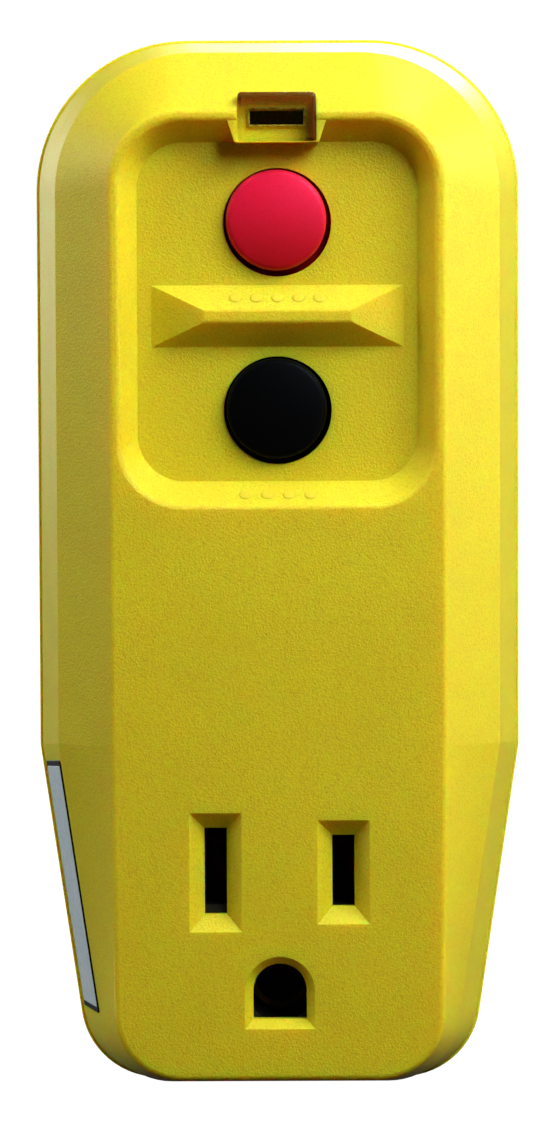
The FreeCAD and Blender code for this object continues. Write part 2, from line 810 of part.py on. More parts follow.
def make_rear_cover():
    body = new_body("rear_cover")
    lip = size("rear_lip")
    outer = [
        outline_sketch(body, "back_outline", "seam", "0", size("rear_draft") - lip),
        outline_sketch(body, "seam_outline", "seam", "seam_depth", -lip),
    ]
    shape = loft(body, "outer", "AdditiveLoft", outer, True)
    fillet(body, "back_edge", shape, lambda e: at_depth(e, 0.0), "rear_round")
    inner = [
        outline_sketch(body, "floor_outline", "seam", "rear_wall", size("wall") + size("rear_draft")),
        outline_sketch(body, "mouth_outline", "seam", "seam_depth + overcut", size("wall")),
    ]
    loft(body, "cavity", "SubtractiveLoft", inner, False)
    for name, x, z, _, _ in screw_places():
        circle_pad(
            body, f"{name}_tube", "rear_wall - overlap", "seam_depth - rear_wall + overlap", x, z,
            "rear_boss_radius")
        circle_pocket(
            body, f"{name}_through", "seam_depth + 1", "seam_depth + 2", x, z,
            "screw_radius + screw_gap")
        circle_pocket(
            body, f"{name}_sink", "screw_sink + screw_head_thick", "screw_sink + screw_head_thick + 1",
            x, z, "screw_head_radius + screw_gap")
    for name, x, z, wide, tall in blade_places():
        rectangle_pocket(
            body, f"{name}_opening", "rear_wall + 1", "rear_wall + 2", x, z,
            f"{wide} + 2 * blade_gap", f"{tall} + 2 * blade_gap")
    circle_pocket(
        body, "ground_opening", "rear_wall + 1", "rear_wall + 2", "0", "ground_level",
        "ground_root_radius + blade_gap")
    for name, sign, z in (
            ("low_left", "-", "board_post_low"), ("high_right", "", "board_post_high"),
            ("low_right", "", "board_post_low"), ("high_left", "-", "board_post_high")):
        circle_pad(
            body, f"{name}_post", "rear_wall - overlap", "board_depth - rear_wall + overlap",
            f"{sign}board_post_across", z, "post_radius")
        circle_pocket(
            body, f"{name}_post_pilot", "board_depth", "board_depth - rear_wall",
            f"{sign}board_post_across", z, "screw_radius / 2 + screw_hold")
    for name, sign in (("left", "-"), ("right", "")):
        circle_pad(
            body, f"{name}_holder_post", "rear_wall - overlap", "holder_back_depth - rear_wall + overlap",
            f"{sign}(holder_half - 2)", "holder_bottom + 2", "post_radius * 0.75")
    return body


def blade_places():
    """Name, x, z, width and height of the two flat blades."""
    return [
        ("line", "slot_pitch / 2", "0", "blade_thick", "line_blade_tall"),
        ("neutral", "-slot_pitch / 2", "0", "blade_thick", "neutral_blade_tall"),
    ]


def make_indicator_lens():
    """Clear window with its upper front edge bevelled."""
    body = new_body("indicator_lens")
    shape = rectangle_pad(
        body, "window", "lens_front_depth - lens_thick", "lens_thick + lens_stand", "0", "lens_level",
        "lens_wide", "lens_tall")
    front = size("lens_front_depth") + size("lens_stand")
    top = size("lens_level") + size("lens_tall") / 2
    edges = [
        f"Edge{i}" for i, e in enumerate(shape.Shape.Edges, start=1)
        if at_depth(e, front) and abs(e.CenterOfMass.z - top) < 1e-3
    ]
    bevel = body.newObject("PartDesign::Chamfer", "bevel")
    bevel.Base = (shape, edges)
    bind(bevel, Size="lens_thick / 3")
    doc.recompute()
    return body


def make_button(name, stem_end):
    """Round cap with a retaining flange behind the recess floor, and a stem."""
    body = new_body(f"{name}_button")
    level = f"{name}_level"
    circle_pad(
        body, "cap", "flange_back_depth",
        "recess_floor_depth + button_proud - flange_back_depth", "0", level, "button_radius")
    circle_pad(body, "flange", "flange_back_depth", "flange_thick", "0", level, "flange_radius")
    shape = circle_pad(
        body, "stem", stem_end, f"flange_back_depth - {stem_end} + stem_root", "0", level,
        "stem_radius")
    front = size("recess_floor_depth") + size("button_proud")
    fillet(body, "crown", shape, lambda e: at_depth(e, front), "button_round")
    return body


def make_cover_screws():
    screws = []
    for name, x, z, _, _ in screw_places():
        head = rod(f"{name}_head", x, "screw_sink", z, "screw_head_radius", "screw_head_thick")
        shank = rod(
            f"{name}_shank", x, "screw_sink + screw_head_thick", z, "screw_radius",
            "screw_end_depth - screw_sink - screw_head_thick")
        drive = [
            block(f"{name}_drive_{way}", x, "0", z, wide, "screw_sink + screw_head_thick / 2", tall)
            for way, wide, tall in (
                ("level", "screw_head_radius * 1.2", "screw_head_radius / 4"),
                ("plumb", "screw_head_radius / 4", "screw_head_radius * 1.2"))
        ]
        screws.append(cut(f"{name}_screw", fuse(f"{name}_blank", [head, shank]), drive))
    return node("cover_screws", group("cover_screws", screws))


def flank_point(down, back, out):
    """A point on the left tapered flank: shares of the way down and back, and mm off it."""
    ends = []
    for section, depth in (("rim", "rim_depth"), ("seam", "seam_depth")):
        high, low = outline_points(*outline_numbers(section))[3:5]
        ends.append([Vector(-spot.x, -size(depth), spot.y) for spot in (high, low)])
    front, rear = (high + (low - high) * down for high, low in ends)
    fall = ends[0][1] - ends[0][0]
    outward = fall.cross(rear - front).normalize()
    outward = outward if outward.x < 0 else outward * -1
    return front + (rear - front) * back + outward * out


def make_side_label():
    """Thin rating label on the left tapered flank, between the rim and the seam."""
    near, far = size("label_near"), size("label_far")
    low, high = size("label_low"), size("label_high")
    spots = [(near, low), (far, low), (far, high), (near, high)]
    lift = size("label_lift")
    corners = [flank_point(down, back, lift) for down, back in spots]
    thick = flank_point(near, low, lift + size("label_thick")) - corners[0]
    made = doc.addObject("Part::Feature", "side_label")
    made.Shape = Part.Face(Part.makePolygon(corners + corners[:1])).extrude(thick)
    return node("side_label", made)


# ---------------------------------------------------------------- blades and outlet contacts

def make_blade(name, x, z, wide, tall):
    """Flat blade with a shoulder inside the rear wall and a short tail in front of it."""
    body = new_body(f"{name}_blade")
    sketch = new_sketch(body, "blade_outline", "-blade_reach", x, z)
    add_rectangle(sketch, wide, tall)
    shape = pad(body, "blade", sketch, "blade_reach + blade_tail_depth")
    bevel = body.newObject("PartDesign::Chamfer", "nose")
    edges = [
        f"Edge{i}" for i, edge in enumerate(shape.Shape.Edges, start=1)
        if at_depth(edge, -size("blade_reach"))
    ]
    bevel.Base = (shape, edges)
    bind(bevel, Size="blade_chamfer")
    doc.recompute()
    rectangle_pad(
        body, "shoulder", "rear_wall", "shoulder_thick", x, z, "shoulder_wide",
        f"{tall} + shoulder_extra")
    return body


def make_ground_pin():
    """Round pin with a domed nose and a shoulder inside the rear wall."""
    body = new_body("ground_pin")
    shape = circle_pad(
        body, "pin", "-ground_pin_reach", "ground_pin_reach + blade_tail_depth", "0",
        "ground_level", "ground_pin_radius")
    fillet(
        body, "nose", shape, lambda e: at_depth(e, -size("ground_pin_reach")),
        "ground_pin_radius * 0.8")
    circle_pad(
        body, "root", "0", "rear_wall + shoulder_thick", "0", "ground_level",
        "ground_root_radius")
    circle_pad(
        body, "shoulder", "rear_wall", "shoulder_thick", "0", "ground_level",
        "ground_shoulder_radius")
    return body


def make_outlet_contact(name, sign):
    """Two jaws joined behind, and a strip that runs up to the switch contact."""
    x = f"{sign}slot_pitch / 2"
    across = f"{sign}(jaw_gap + leaf_thick) / 2"
    jaw_deep = "jaw_front_depth - jaw_back_depth"
    outer = block(f"{name}_outer_jaw", f"{x} + {across}", "jaw_back_depth", "0",
                  "leaf_thick", jaw_deep, "jaw_tall")
    inner = block(f"{name}_inner_jaw", f"{x} - {across}", "jaw_back_depth", "0",
                  "leaf_thick", jaw_deep, "jaw_tall")
    base = block(f"{name}_jaw_base", x, "jaw_back_depth", "0",
                 "jaw_gap + 2 * leaf_thick", "leaf_thick", "jaw_tall")
    tab = block(f"{name}_tab", f"{x} + {across}", "strip_depth - tab_deep / 2", "tab_top / 2",
                "leaf_thick", "tab_deep", "tab_top")
    strip = block(f"{name}_strip", f"{sign}(strip_centre - strip_shift)", "strip_depth",
                  "(strip_foot + strip_top) / 2", "strip_wide + 2 * strip_shift", "leaf_thick",
                  "strip_top - strip_foot")
    return node(f"{name}_outlet_contact",
                fuse(f"{name}_outlet_contact", [outer, inner, base, tab, strip]))


def make_ground_outlet_contact():
    """Slit sleeve for the round ground pin of the plug that goes in."""
    deep = "jaw_front_depth - jaw_back_depth"
    outer = rod("sleeve_outside", "0", "jaw_back_depth", "ground_level", "sleeve_outer", deep)
    bore = rod("sleeve_bore", "0", "jaw_back_depth + leaf_thick", "ground_level",
               "sleeve_inner", deep)
    slit = block("sleeve_slit", "0", "jaw_back_depth + leaf_thick * 3",
                 "ground_level + sleeve_outer", "sleeve_slit", deep, "sleeve_outer")
    return node("ground_outlet_contact", cut("ground_outlet_contact", outer, [bore, slit]))


def make_ground_strap():
    """Bar that joins the ground sleeve to the ground pin."""
    return node("ground_strap", block(
        "ground_strap", "0", "blade_tail_depth", "ground_level", "2 * strap_half",
        "jaw_back_depth - blade_tail_depth", "2 * strap_half"))


def make_contact_holder():
    """Moulded block with a pocket for each of the three female contacts."""
    deep = "front_depth - wall - holder_gap - holder_back_depth"
    outside = block("holder_block", "0", "holder_back_depth",
                    "(holder_top + holder_bottom) / 2", "2 * holder_half", deep,
                    "holder_top - holder_bottom")
    pocket_deep = "front_depth - pocket_back_depth"
    tools = []
    for name, sign in (("line", ""), ("neutral", "-")):
        tools.append(block(f"{name}_pocket", f"{sign}slot_pitch / 2", "pocket_back_depth",
                           "holder_top / 2 - jaw_tall / 4 - pocket_gap / 2 + 1",
                           "jaw_gap + 2 * leaf_thick + 2 * pocket_gap", pocket_deep,
                           "holder_top + jaw_tall / 2 + pocket_gap + 2"))
    tools.append(rod("ground_pocket", "0", "pocket_back_depth", "ground_level",
                     "sleeve_outer + pocket_gap", pocket_deep))
    tools.append(block("strap_way", "0", "holder_back_depth - 1", "ground_level",
                       "2 * strap_half + pocket_gap", "pocket_back_depth - holder_back_depth + 2",
                       "2 * strap_half + pocket_gap"))
    return node("contact_holder", cut("contact_holder", outside, tools))


# ---------------------------------------------------------------- board and sensing cores

def make_circuit_board():
    body = new_body("circuit_board")
    middle = "(board_top + board_bottom) / 2"
    rectangle_pad(body, "board", "board_depth", "board_thick", "0", middle,
                  "2 * board_half", "board_top - board_bottom")
    for name, z, radius in (("core_way", "core_level", "core_hole"),
                            ("latch_way", "reset_level", "latch_pin_radius + latch_way_gap")):
        circle_pocket(body, name, "board_depth + 3", "5", "0", z, radius)
    for name, sign, z in board_screw_places():
        circle_pocket(body, f"{name}_way", "board_depth + 3", "5",
                      f"{sign}board_post_across", z, "screw_radius / 2 + post_way_gap")
    return body


def board_screw_places():
    return [("low_left", "-", "board_post_low"), ("high_right", "", "board_post_high")]


def make_board_screws():
    screws = []
    for name, sign, z in board_screw_places():
        x = f"{sign}board_post_across"
        head = rod(f"board_{name}_head", x, "board_depth + board_thick", z,
                   "screw_radius * 1.5", "board_screw_head")
        shank = rod(f"board_{name}_shank", x, "rear_wall + 1", z, "screw_radius / 2 + screw_hold",
                    "board_depth + board_thick - rear_wall - 1")
        screws.append(fuse(f"board_{name}_screw", [head, shank]))
    return node("board_screws", group("board_screws", screws))


def make_core_housing():
    """Round cup that holds both cores, open at the front, with a central way for the wires."""
    back = "board_depth + board_thick"
    deep = f"core_housing_front - ({back})"
    outside = rod("housing_outside", "0", back, "core_level", "core_housing_radius", deep)
    room = rod("housing_room", "0", f"{back} + core_housing_wall", "core_level",
               "core_housing_radius - core_housing_wall", deep)
    tube = rod("housing_tube", "0", back, "core_level", "core_hole + core_housing_wall", deep)
    bore = rod("housing_bore", "0", f"{back} - 1", "core_level", "core_hole", f"{deep} + 2")
    cup = fuse("housing_cup", [cut("housing_shell", outside, [room]), tube])
    return node("core_housing", cut("core_housing", cup, [bore]))


def make_ring(label, depth, deep, inner, outer):
    """Plain ring around the core axis."""
    outside = rod(f"{label}_outside", "0", depth, "core_level", outer, deep)
    bore = rod(f"{label}_bore", "0", f"{depth} - 1", "core_level", inner, f"{deep} + 2")
    return node(label, cut(label, outside, [bore]))


def make_winding(label, depth):
    """Wire wound round a ring core: a hollow ring that leaves a gap for the lead wires."""
    body = new_body(label)
    place(body, "0", "0", "core_level")
    radius = "(winding_in + winding_out) / 2"
    sketch = new_sketch(body, f"{label}_section", "0", radius,
                        f"-({depth}) - winding_deep / 2", "XY_Plane")
    add_rectangle(sketch, "winding_out - winding_in", "winding_deep", "outside")
    add_rectangle(sketch, "core_out - core_in + core_gap", "core_deep + core_gap", "inside")
    turn = body.newObject("PartDesign::Revolution", f"{label}_turn")
    turn.Profile = sketch
    turn.ReferenceAxis = (origin_feature(body, "Y_Axis"), [""])
    bind(turn, Angle="winding_degrees")
    doc.recompute()
    return body


def make_cores():
    for name in ("sense", "neutral"):
        depth = f"{name}_winding_depth"
        make_ring(f"{name}_core", f"{depth} + (winding_deep - core_deep) / 2", "core_deep",
                  "core_in", "core_out")
        make_winding(f"{name}_winding", depth)


# ---------------------------------------------------------------- solenoid

def make_solenoid():
    axis = "coil_axis_depth"
    tall = "coil_high - coil_low"
    tube = upright("bobbin_tube", "0", axis, "coil_low", "bobbin_tube", tall)
    low = upright("bobbin_low", "0", axis, "coil_low", "bobbin_flange", "bobbin_flange_thick")
    high = upright("bobbin_high", "0", axis, "coil_high - bobbin_flange_thick", "bobbin_flange",
                   "bobbin_flange_thick")
    bore = upright("bobbin_bore", "0", axis, "coil_low - 1", "bobbin_bore", f"{tall} + 2")
    node("solenoid_bobbin", cut("solenoid_bobbin", fuse("bobbin_spool", [tube, low, high]), [bore]))

    coil_tall = f"{tall} - 2 * bobbin_flange_thick"
    wound = upright("coil_outside", "0", axis, "coil_low + bobbin_flange_thick", "coil_radius",
                    coil_tall)
    inside = upright("coil_inside", "0", axis, "coil_low", "bobbin_tube", tall)
    node("solenoid_coil", cut("solenoid_coil", wound, [inside]))

    deep = "bracket_front - bracket_back"
    wide = "2 * bracket_half"
    bottom = block("bracket_bottom", "0", "bracket_back", "coil_low - bracket_thick / 2", wide,
                   deep, "bracket_thick")
    top = block("bracket_top", "0", "bracket_back", "coil_high + bracket_thick / 2", wide, deep,
                "bracket_thick")
    base = block("bracket_web", "0", "bracket_back", "(coil_low + coil_high) / 2", wide,
                 "bracket_base", tall)
    way = upright("bracket_way", "0", axis, "coil_high - 1", "bobbin_bore", "bracket_thick + 2")
    node("solenoid_bracket", cut("solenoid_bracket", fuse("bracket", [bottom, top, base]), [way]))

    node("solenoid_plunger", upright(
        "solenoid_plunger", "0", axis, "plunger_low", "plunger_radius",
        "plunger_high - plunger_low"))


# ---------------------------------------------------------------- latch and switch contacts

def make_mechanism_frame():
    """Bridge in front of the board that both button springs press on."""
    plate_back = "frame_front - frame_plate"
    middle = "(frame_low + frame_high) / 2"
    wide = "2 * frame_half"
    plate = block("frame_plate", "0", plate_back, middle, wide, "frame_plate",
                  "frame_high - frame_low")
    leg_deep = f"{plate_back} - board_depth - board_thick"
    legs = [
        block("frame_low_leg", "0", "board_depth + board_thick", "frame_low + frame_leg / 2",
              wide, leg_deep, "frame_leg"),
        block("frame_high_leg", "0", "board_depth + board_thick", "frame_high - frame_leg / 2",
              wide, leg_deep, "frame_leg"),
    ]
    ways = [
        rod("latch_pin_way", "0", f"{plate_back} - 1", "reset_level", "latch_pin_radius + latch_pin_gap",
            "frame_plate + 2"),
        rod("test_stem_way", "0", f"{plate_back} - 1", "test_level", "stem_radius + stem_gap",
            "frame_plate + 2"),
    ]
    return node("mechanism_frame", cut("mechanism_frame", fuse("frame", [plate] + legs), ways))


def make_latch():
    node("latch_pin", rod("latch_pin", "0", "latch_pin_end", "reset_level", "latch_pin_radius",
                          "reset_stem_end - latch_pin_end"))
    plate_low = "plunger_high"
    plate = block("latch_sheet", "0", "latch_depth", f"({plate_low} + latch_top) / 2",
                  "2 * latch_half", "latch_thick", f"latch_top - {plate_low}")
    tab = block("latch_tab", "0", "latch_depth", f"{plate_low} + latch_tab_thick / 2",
                "2 * latch_half", "latch_tab_front - latch_depth", "latch_tab_thick")
    slot = block("latch_slot", "0", "latch_depth - 1", "reset_level + plunger_travel / 2",
                 "2 * latch_pin_radius + latch_slot_gap", "latch_thick + 2",
                 "2 * latch_pin_radius + latch_slot_gap + plunger_travel")
    node("latch_plate", cut("latch_plate", fuse("latch_blank", [plate, tab]), [slot]))


def make_contact_carrier():
    """Sliding block whose two ears push the contact arms forwards."""
    core = block("carrier_core", "0", "carrier_back", "(carrier_low + carrier_high) / 2",
                 "2 * carrier_half", "carrier_front - carrier_back", "carrier_high - carrier_low")
    ears = block("carrier_ears", "0", "carrier_front - ear_deep", "reset_level", "2 * ear_half",
                 "ear_deep", "ear_tall")
    way = rod("carrier_way", "0", "carrier_back - 1", "reset_level", "latch_pin_radius + carrier_way_gap",
              "carrier_front - carrier_back + 2")
    seat = rod("carrier_seat", "0", "carrier_pocket_back", "reset_level",
               "carrier_pocket_radius", "5")
    return node("contact_carrier",
                cut("contact_carrier", fuse("carrier_blank", [core, ears]), [way, seat]))


def make_switch(name, sign):
    """Moving arm with its tip, the terminal it is fixed to, and the fixed contact."""
    x = f"{sign}strip_centre"
    node(f"{name}_contact_arm", block(
        f"{name}_contact_arm", x, "arm_depth", "(arm_low + arm_high) / 2", "strip_wide",
        "arm_thick", "arm_high - arm_low"))
    tip_depth = "arm_depth + arm_thick"
    node(f"{name}_moving_tip", rod(
        f"{name}_moving_tip", x, tip_depth, "tip_level", "tip_radius", "tip_thick"))
    node(f"{name}_fixed_tip", rod(
        f"{name}_fixed_tip", x, f"{tip_depth} + tip_thick + contact_gap", "tip_level",
        "tip_radius", f"strip_depth - ({tip_depth}) - tip_thick - contact_gap"))
    node(f"{name}_arm_terminal", block(
        f"{name}_arm_terminal", x, "board_depth + board_thick", "arm_pivot", "strip_wide",
        "terminal_front - board_depth - board_thick", "leaf_thick"))


def make_spring(label, coil, wire, pitch, length):
    """Closed-up coil spring that stands on its own origin along +Z."""
    body = new_body(label)
    sketch = new_sketch(body, f"{label}_wire", "0", coil, wire)
    add_circle(sketch, wire)
    helix = body.newObject("PartDesign::AdditiveHelix", f"{label}_coil")
    helix.Profile = sketch
    helix.ReferenceAxis = (origin_feature(body, "Z_Axis"), [""])
    helix.Mode = "pitch-height-angle"
    bind(helix, Pitch=pitch, Height=f"{length} - 2 * ({wire})")
    doc.recompute()
    return body


def make_springs():
    gap = 0.05
    button_length = "flange_back_depth - frame_front - spring_slack"
    turned = FreeCAD.Rotation(Vector(1, 0, 0), 90)
    for name in ("reset", "test"):
        spring = make_spring(f"{name}_spring", "button_coil_radius", "button_wire_radius",
                             "button_spring_pitch", button_length)
        spring.Placement.Rotation = turned
        place(spring, "0", f"-frame_front - {gap}", f"{name}_level")
    spring = make_spring(
        "carrier_spring", "carrier_coil_radius", "fine_wire_radius", "carrier_spring_pitch",
        "frame_front - frame_plate - carrier_pocket_back - spring_slack")
    spring.Placement.Rotation = turned
    place(spring, "0", f"-carrier_pocket_back - {gap}", "reset_level")
    spring = make_spring(
        "plunger_spring", "plunger_coil_radius", "fine_wire_radius", "plunger_spring_pitch",
        "plunger_high - coil_high - bracket_thick - spring_slack")
    place(spring, "0", "-coil_axis_depth", f"coil_high + bracket_thick + {gap}")


# ---------------------------------------------------------------- electrical pieces

def make_conductor(name, sign):
    """Insulated conductor: up from the blade, through the cores and back to the board."""
    across = sign * size("wire_across")
    route = [
        Vector(sign * size("slot_pitch") / 2, -size("wire_back_depth"), size("wire_foot")),
        Vector(across, -size("wire_back_depth"), size("core_level")),
        Vector(across, -size("wire_front_depth"), size("core_level")),
        Vector(across, -size("wire_front_depth"), size("wire_return")),
        Vector(across, -size("board_depth") - size("board_thick"), size("wire_return")),
    ]
    bend = size("wire_bend")
    edges = []
    start = route[0]
    for before, corner, after in zip(route, route[1:], route[2:]):
        back = (before - corner).normalize()
        ahead = (after - corner).normalize()
        half = back.getAngle(ahead) / 2
        reach = bend / math.tan(half)
        centre = corner + (back + ahead).normalize() * (bend / math.sin(half))
        middle = centre + (corner - centre).normalize() * bend
        edges.append(Part.LineSegment(start, corner + back * reach).toShape())
        edges.append(Part.Arc(corner + back * reach, middle, corner + ahead * reach).toShape())
        start = corner + ahead * reach
    edges.append(Part.LineSegment(start, route[-1]).toShape())
    path = Part.Wire(edges)
    heading = (route[1] - route[0]).normalize()
    ring = Part.Wire([Part.Circle(route[0], heading, size("wire_radius")).toShape()])
    made = doc.addObject("Part::Feature", name)
    made.Shape = path.makePipeShell([ring], True, False)
    return node(name, made)


def make_test_leaf():
    """Springy strip that the test button presses, bent down to the board at its end."""
    blade = block("test_leaf_blade", "(test_leaf_start + test_leaf_end) / 2", "test_leaf_depth",
                  "test_level", "test_leaf_end - test_leaf_start", "test_leaf_thick",
                  "test_leaf_tall")
    foot = block("test_leaf_foot", "test_leaf_end - test_leaf_thick / 2",
                 "board_depth + board_thick", "test_level", "test_leaf_thick",
                 "test_leaf_depth + test_leaf_thick - board_depth - board_thick",
                 "test_leaf_tall")
    return node("test_contact_leaf", fuse("test_contact_leaf", [blade, foot]))


def make_electronics():
    """Discrete pieces that stand on the front of the circuit board."""
    top = "board_depth + board_thick"
    node("varistor", rod(
        "varistor", "-varistor_across", f"{top} + varistor_lift", "varistor_level",
        "varistor_radius", "varistor_thick"))
    node("filter_capacitor", rod(
        "filter_capacitor", "capacitor_across", top, "capacitor_level", "capacitor_radius",
        "capacitor_long"))
    node("control_chip", block(
        "control_chip", "-chip_across", f"{top} + chip_lift", "chip_level", "chip_wide",
        "chip_thick", "chip_tall"))
    node("thyristor", block(
        "thyristor", "chip_across", f"{top} + chip_lift", "chip_level", "thyristor_wide",
        "thyristor_thick", "thyristor_tall"))
    resistors = [
        block(f"resistor_{index}", "-resistor_across", f"{top} + resistor_lift", level,
              "resistor_wide", "resistor_thick", "resistor_tall")
        for index, level in enumerate((
            "resistor_low", "resistor_low + resistor_pitch", "resistor_low + 2 * resistor_pitch",
            "resistor_high", "resistor_high + resistor_pitch"))
    ]
    node("resistors", group("resistors", resistors))
    diodes = [
        upright(f"diode_{index}", "resistor_across", f"{top} + diode_lift", level,
                "diode_radius", "diode_tall")
        for index, level in enumerate(("diode_low", "diode_low + diode_pitch"))
    ]
    node("diodes", group("diodes", diodes))
    make_indicator_led(top)


def make_indicator_led(top):
    """Round lamp on two leads, close behind the indicator window."""
    stem = block("led_leads", "0", top, "lens_level", "led_radius * 1.6",
                 f"led_base_depth - ({top})", "led_lead_thick")
    rim = rod("led_rim", "0", "led_base_depth", "lens_level", "led_radius * 1.2", "led_rim_thick")
    tube = rod("led_tube", "0", "led_base_depth", "lens_level", "led_radius",
               "led_tip_depth - led_base_depth")
    node("indicator_led", fuse("indicator_led", [stem, rim, tube]))


# ---------------------------------------------------------------- build and write

def check_document():
    """Stop on any failed object or any invalid sub-part."""
    doc.recompute()
    for thing in doc.Objects:
        if "Invalid" in thing.State or "Error" in thing.State:
            raise RuntimeError(f"{thing.Name} failed: {thing.State}")
    for thing in nodes:
        if thing.Shape.isNull() or not thing.Shape.isValid():
            raise RuntimeError(f"{thing.Label} has no valid shape")


def write_parts():
    os.makedirs("parts", exist_ok=True)
    for old in os.listdir("parts"):
        os.remove(os.path.join("parts", old))
    for thing in nodes:
        thing.Shape.exportStep(os.path.join("parts", f"{thing.Label}.step"))
        print(f"{thing.Label}: {len(thing.Shape.Solids)} solid(s), {thing.Shape.Volume:.1f} mm3")


def build():
    make_front_cover()
    make_rear_cover()
    make_indicator_lens()
    make_button("reset", "reset_stem_end")
    make_button("test", "test_stem_end")
    make_cover_screws()
    make_side_label()
    for place_of_blade in blade_places():
        make_blade(*place_of_blade)
    make_ground_pin()
    for name, sign in (("line", ""), ("neutral", "-")):
        make_outlet_contact(name, sign)
        make_switch(name, sign)
    make_ground_outlet_contact()
    make_ground_strap()
    make_contact_holder()
    make_circuit_board()
    make_board_screws()
    make_core_housing()
    make_cores()
    make_solenoid()
    make_mechanism_frame()
    make_latch()
    make_contact_carrier()
    make_springs()
    make_conductor("line_wire", 1)
    make_conductor("neutral_wire", -1)
    make_test_leaf()
    make_electronics()
    check_document()
    write_parts()


build()
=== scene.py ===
"""Looks of a plug-in ground-fault adapter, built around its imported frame."""
import json
import math

import bmesh
import bpy
from mathutils import Matrix, Vector
from mathutils.bvhtree import BVHTree


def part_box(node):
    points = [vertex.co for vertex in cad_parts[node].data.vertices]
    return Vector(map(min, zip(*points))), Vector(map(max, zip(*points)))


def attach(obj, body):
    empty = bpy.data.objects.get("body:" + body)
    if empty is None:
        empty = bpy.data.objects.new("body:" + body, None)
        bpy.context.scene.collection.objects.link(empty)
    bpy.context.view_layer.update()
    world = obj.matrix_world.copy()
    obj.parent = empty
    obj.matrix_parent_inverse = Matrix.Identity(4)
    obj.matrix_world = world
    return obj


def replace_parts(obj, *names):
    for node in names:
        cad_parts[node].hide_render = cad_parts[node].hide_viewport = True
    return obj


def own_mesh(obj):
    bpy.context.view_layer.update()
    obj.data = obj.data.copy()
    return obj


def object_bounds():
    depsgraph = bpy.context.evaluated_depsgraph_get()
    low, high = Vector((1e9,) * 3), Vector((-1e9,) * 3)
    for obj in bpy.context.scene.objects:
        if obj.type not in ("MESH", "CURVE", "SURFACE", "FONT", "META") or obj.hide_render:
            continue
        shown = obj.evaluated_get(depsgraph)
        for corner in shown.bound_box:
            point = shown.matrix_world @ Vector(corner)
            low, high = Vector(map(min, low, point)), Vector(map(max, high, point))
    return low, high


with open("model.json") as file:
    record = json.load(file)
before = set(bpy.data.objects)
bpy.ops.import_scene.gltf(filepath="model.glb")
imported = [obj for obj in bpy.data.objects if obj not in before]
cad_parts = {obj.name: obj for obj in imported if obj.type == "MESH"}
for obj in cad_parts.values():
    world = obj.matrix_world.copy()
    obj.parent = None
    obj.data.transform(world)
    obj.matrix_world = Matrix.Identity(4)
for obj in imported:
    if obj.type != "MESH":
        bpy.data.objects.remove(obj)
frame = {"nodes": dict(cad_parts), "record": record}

NODES = frame["nodes"]
CAD_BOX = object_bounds()
MM = 0.001
MICRON = 1e-6

# The camera looks at the middle of the front face, almost level.
AIM = Vector((0.012, -34.0, 30.773)) * MM
CAMERA_AZIMUTH = -0.093
CAMERA_ELEVATION = 3.353
CAMERA_ROLL = -0.233
CAMERA_DISTANCE = 408.67 * MM
CAMERA_LENS = 132.58
SENSOR = 36.0
CLIP = (0.01, 50.0)

# Button caps, in millimetres out from the wall.
STEM_RADIUS = 2.0
STEM_SOFT = 0.25
FLANGE_RADIUS = 6.0
FLANGE_SOFT = 0.15
FLANGE_BACK = 27.5
FLANGE_FRONT = 28.7
CAP_RADIUS = 4.97
CAP_DOME = 0.42
RIM_ROUND = 0.62
RIM_STEPS = 8
RIM_TURN = 80
DOME_STEPS = 10
LATHE_SIDES = 96
CAP_LEFT = 0.10 * MM
CAP_RISE = 0.20 * MM

# Springs: wire radius and pitch.
BUTTON_WIRE = 0.3 * MM
BUTTON_PITCH = 1.9 * MM
FINE_WIRE = 0.18 * MM
FINE_PITCH = 0.9 * MM
COIL_STEPS = 24
WIRE_SIDES = 10

# Frame round the slot behind the window: half width, half height, bar and depth, mm.
SLOT_FRAME = (2.84, 0.94, 0.20, 0.35)
FRAME_LIFT = 0.06 * MM
FRAME_SOFT = 0.09 * MM
WINDOW_SOFT = 0.38 * MM
SOFT_STEPS = 3

# Moulded marks: where their rows stand, row width and count, where the search for the
# slope starts, and one mark's outline as shares of its radius and heights above the slope.
RIDGE_MARK_RISE = 1.85 * MM
LOWER_MARK_DROP = 8.3 * MM
RIDGE_ROW = (10.4 * MM, 5)
LOWER_ROW = (8.6 * MM, 4)
FAR_IN_FRONT = -200 * MM
MARK_RADIUS = 0.62 * MM
MARK_SIDES = 32
MARK_PROFILE = [(1.0, -0.20 * MM), (1.0, 0.0), (0.92, 0.05 * MM), (0.75, 0.085 * MM),
                (0.45, 0.11 * MM), (0.15, 0.12 * MM)]

# Side label: sheet, black border, corners, and how its edge drops and leans inwards.
LABEL_THICK = 0.12 * MM
LABEL_BORDER = 0.55 * MM
LABEL_CORNER = 0.5 * MM
FIELD_CORNER = 0.4 * MM
FIELD_LIFT = 0.02 * MM
CORNER_STEPS = 6
EDGE_DROP = 0.25
EDGE_LEAN = 0.6
SAME_SPOT = 0.01 * MM

# Floor bowl, in metres: radius of the flat floor, of its bend, and height of the wall;
# then its paper's grain and glow, and the strength of the light that comes from all round.
BOWL_FLAT = 1.6
BOWL_BEND = 0.9
BOWL_HIGH = 2.6
BOWL_SIDES = 72
BEND_STEPS = 12
PAPER_GRAIN = 0.02
PAPER_GLOW = 1.03
WORLD_LIGHT = 0.13

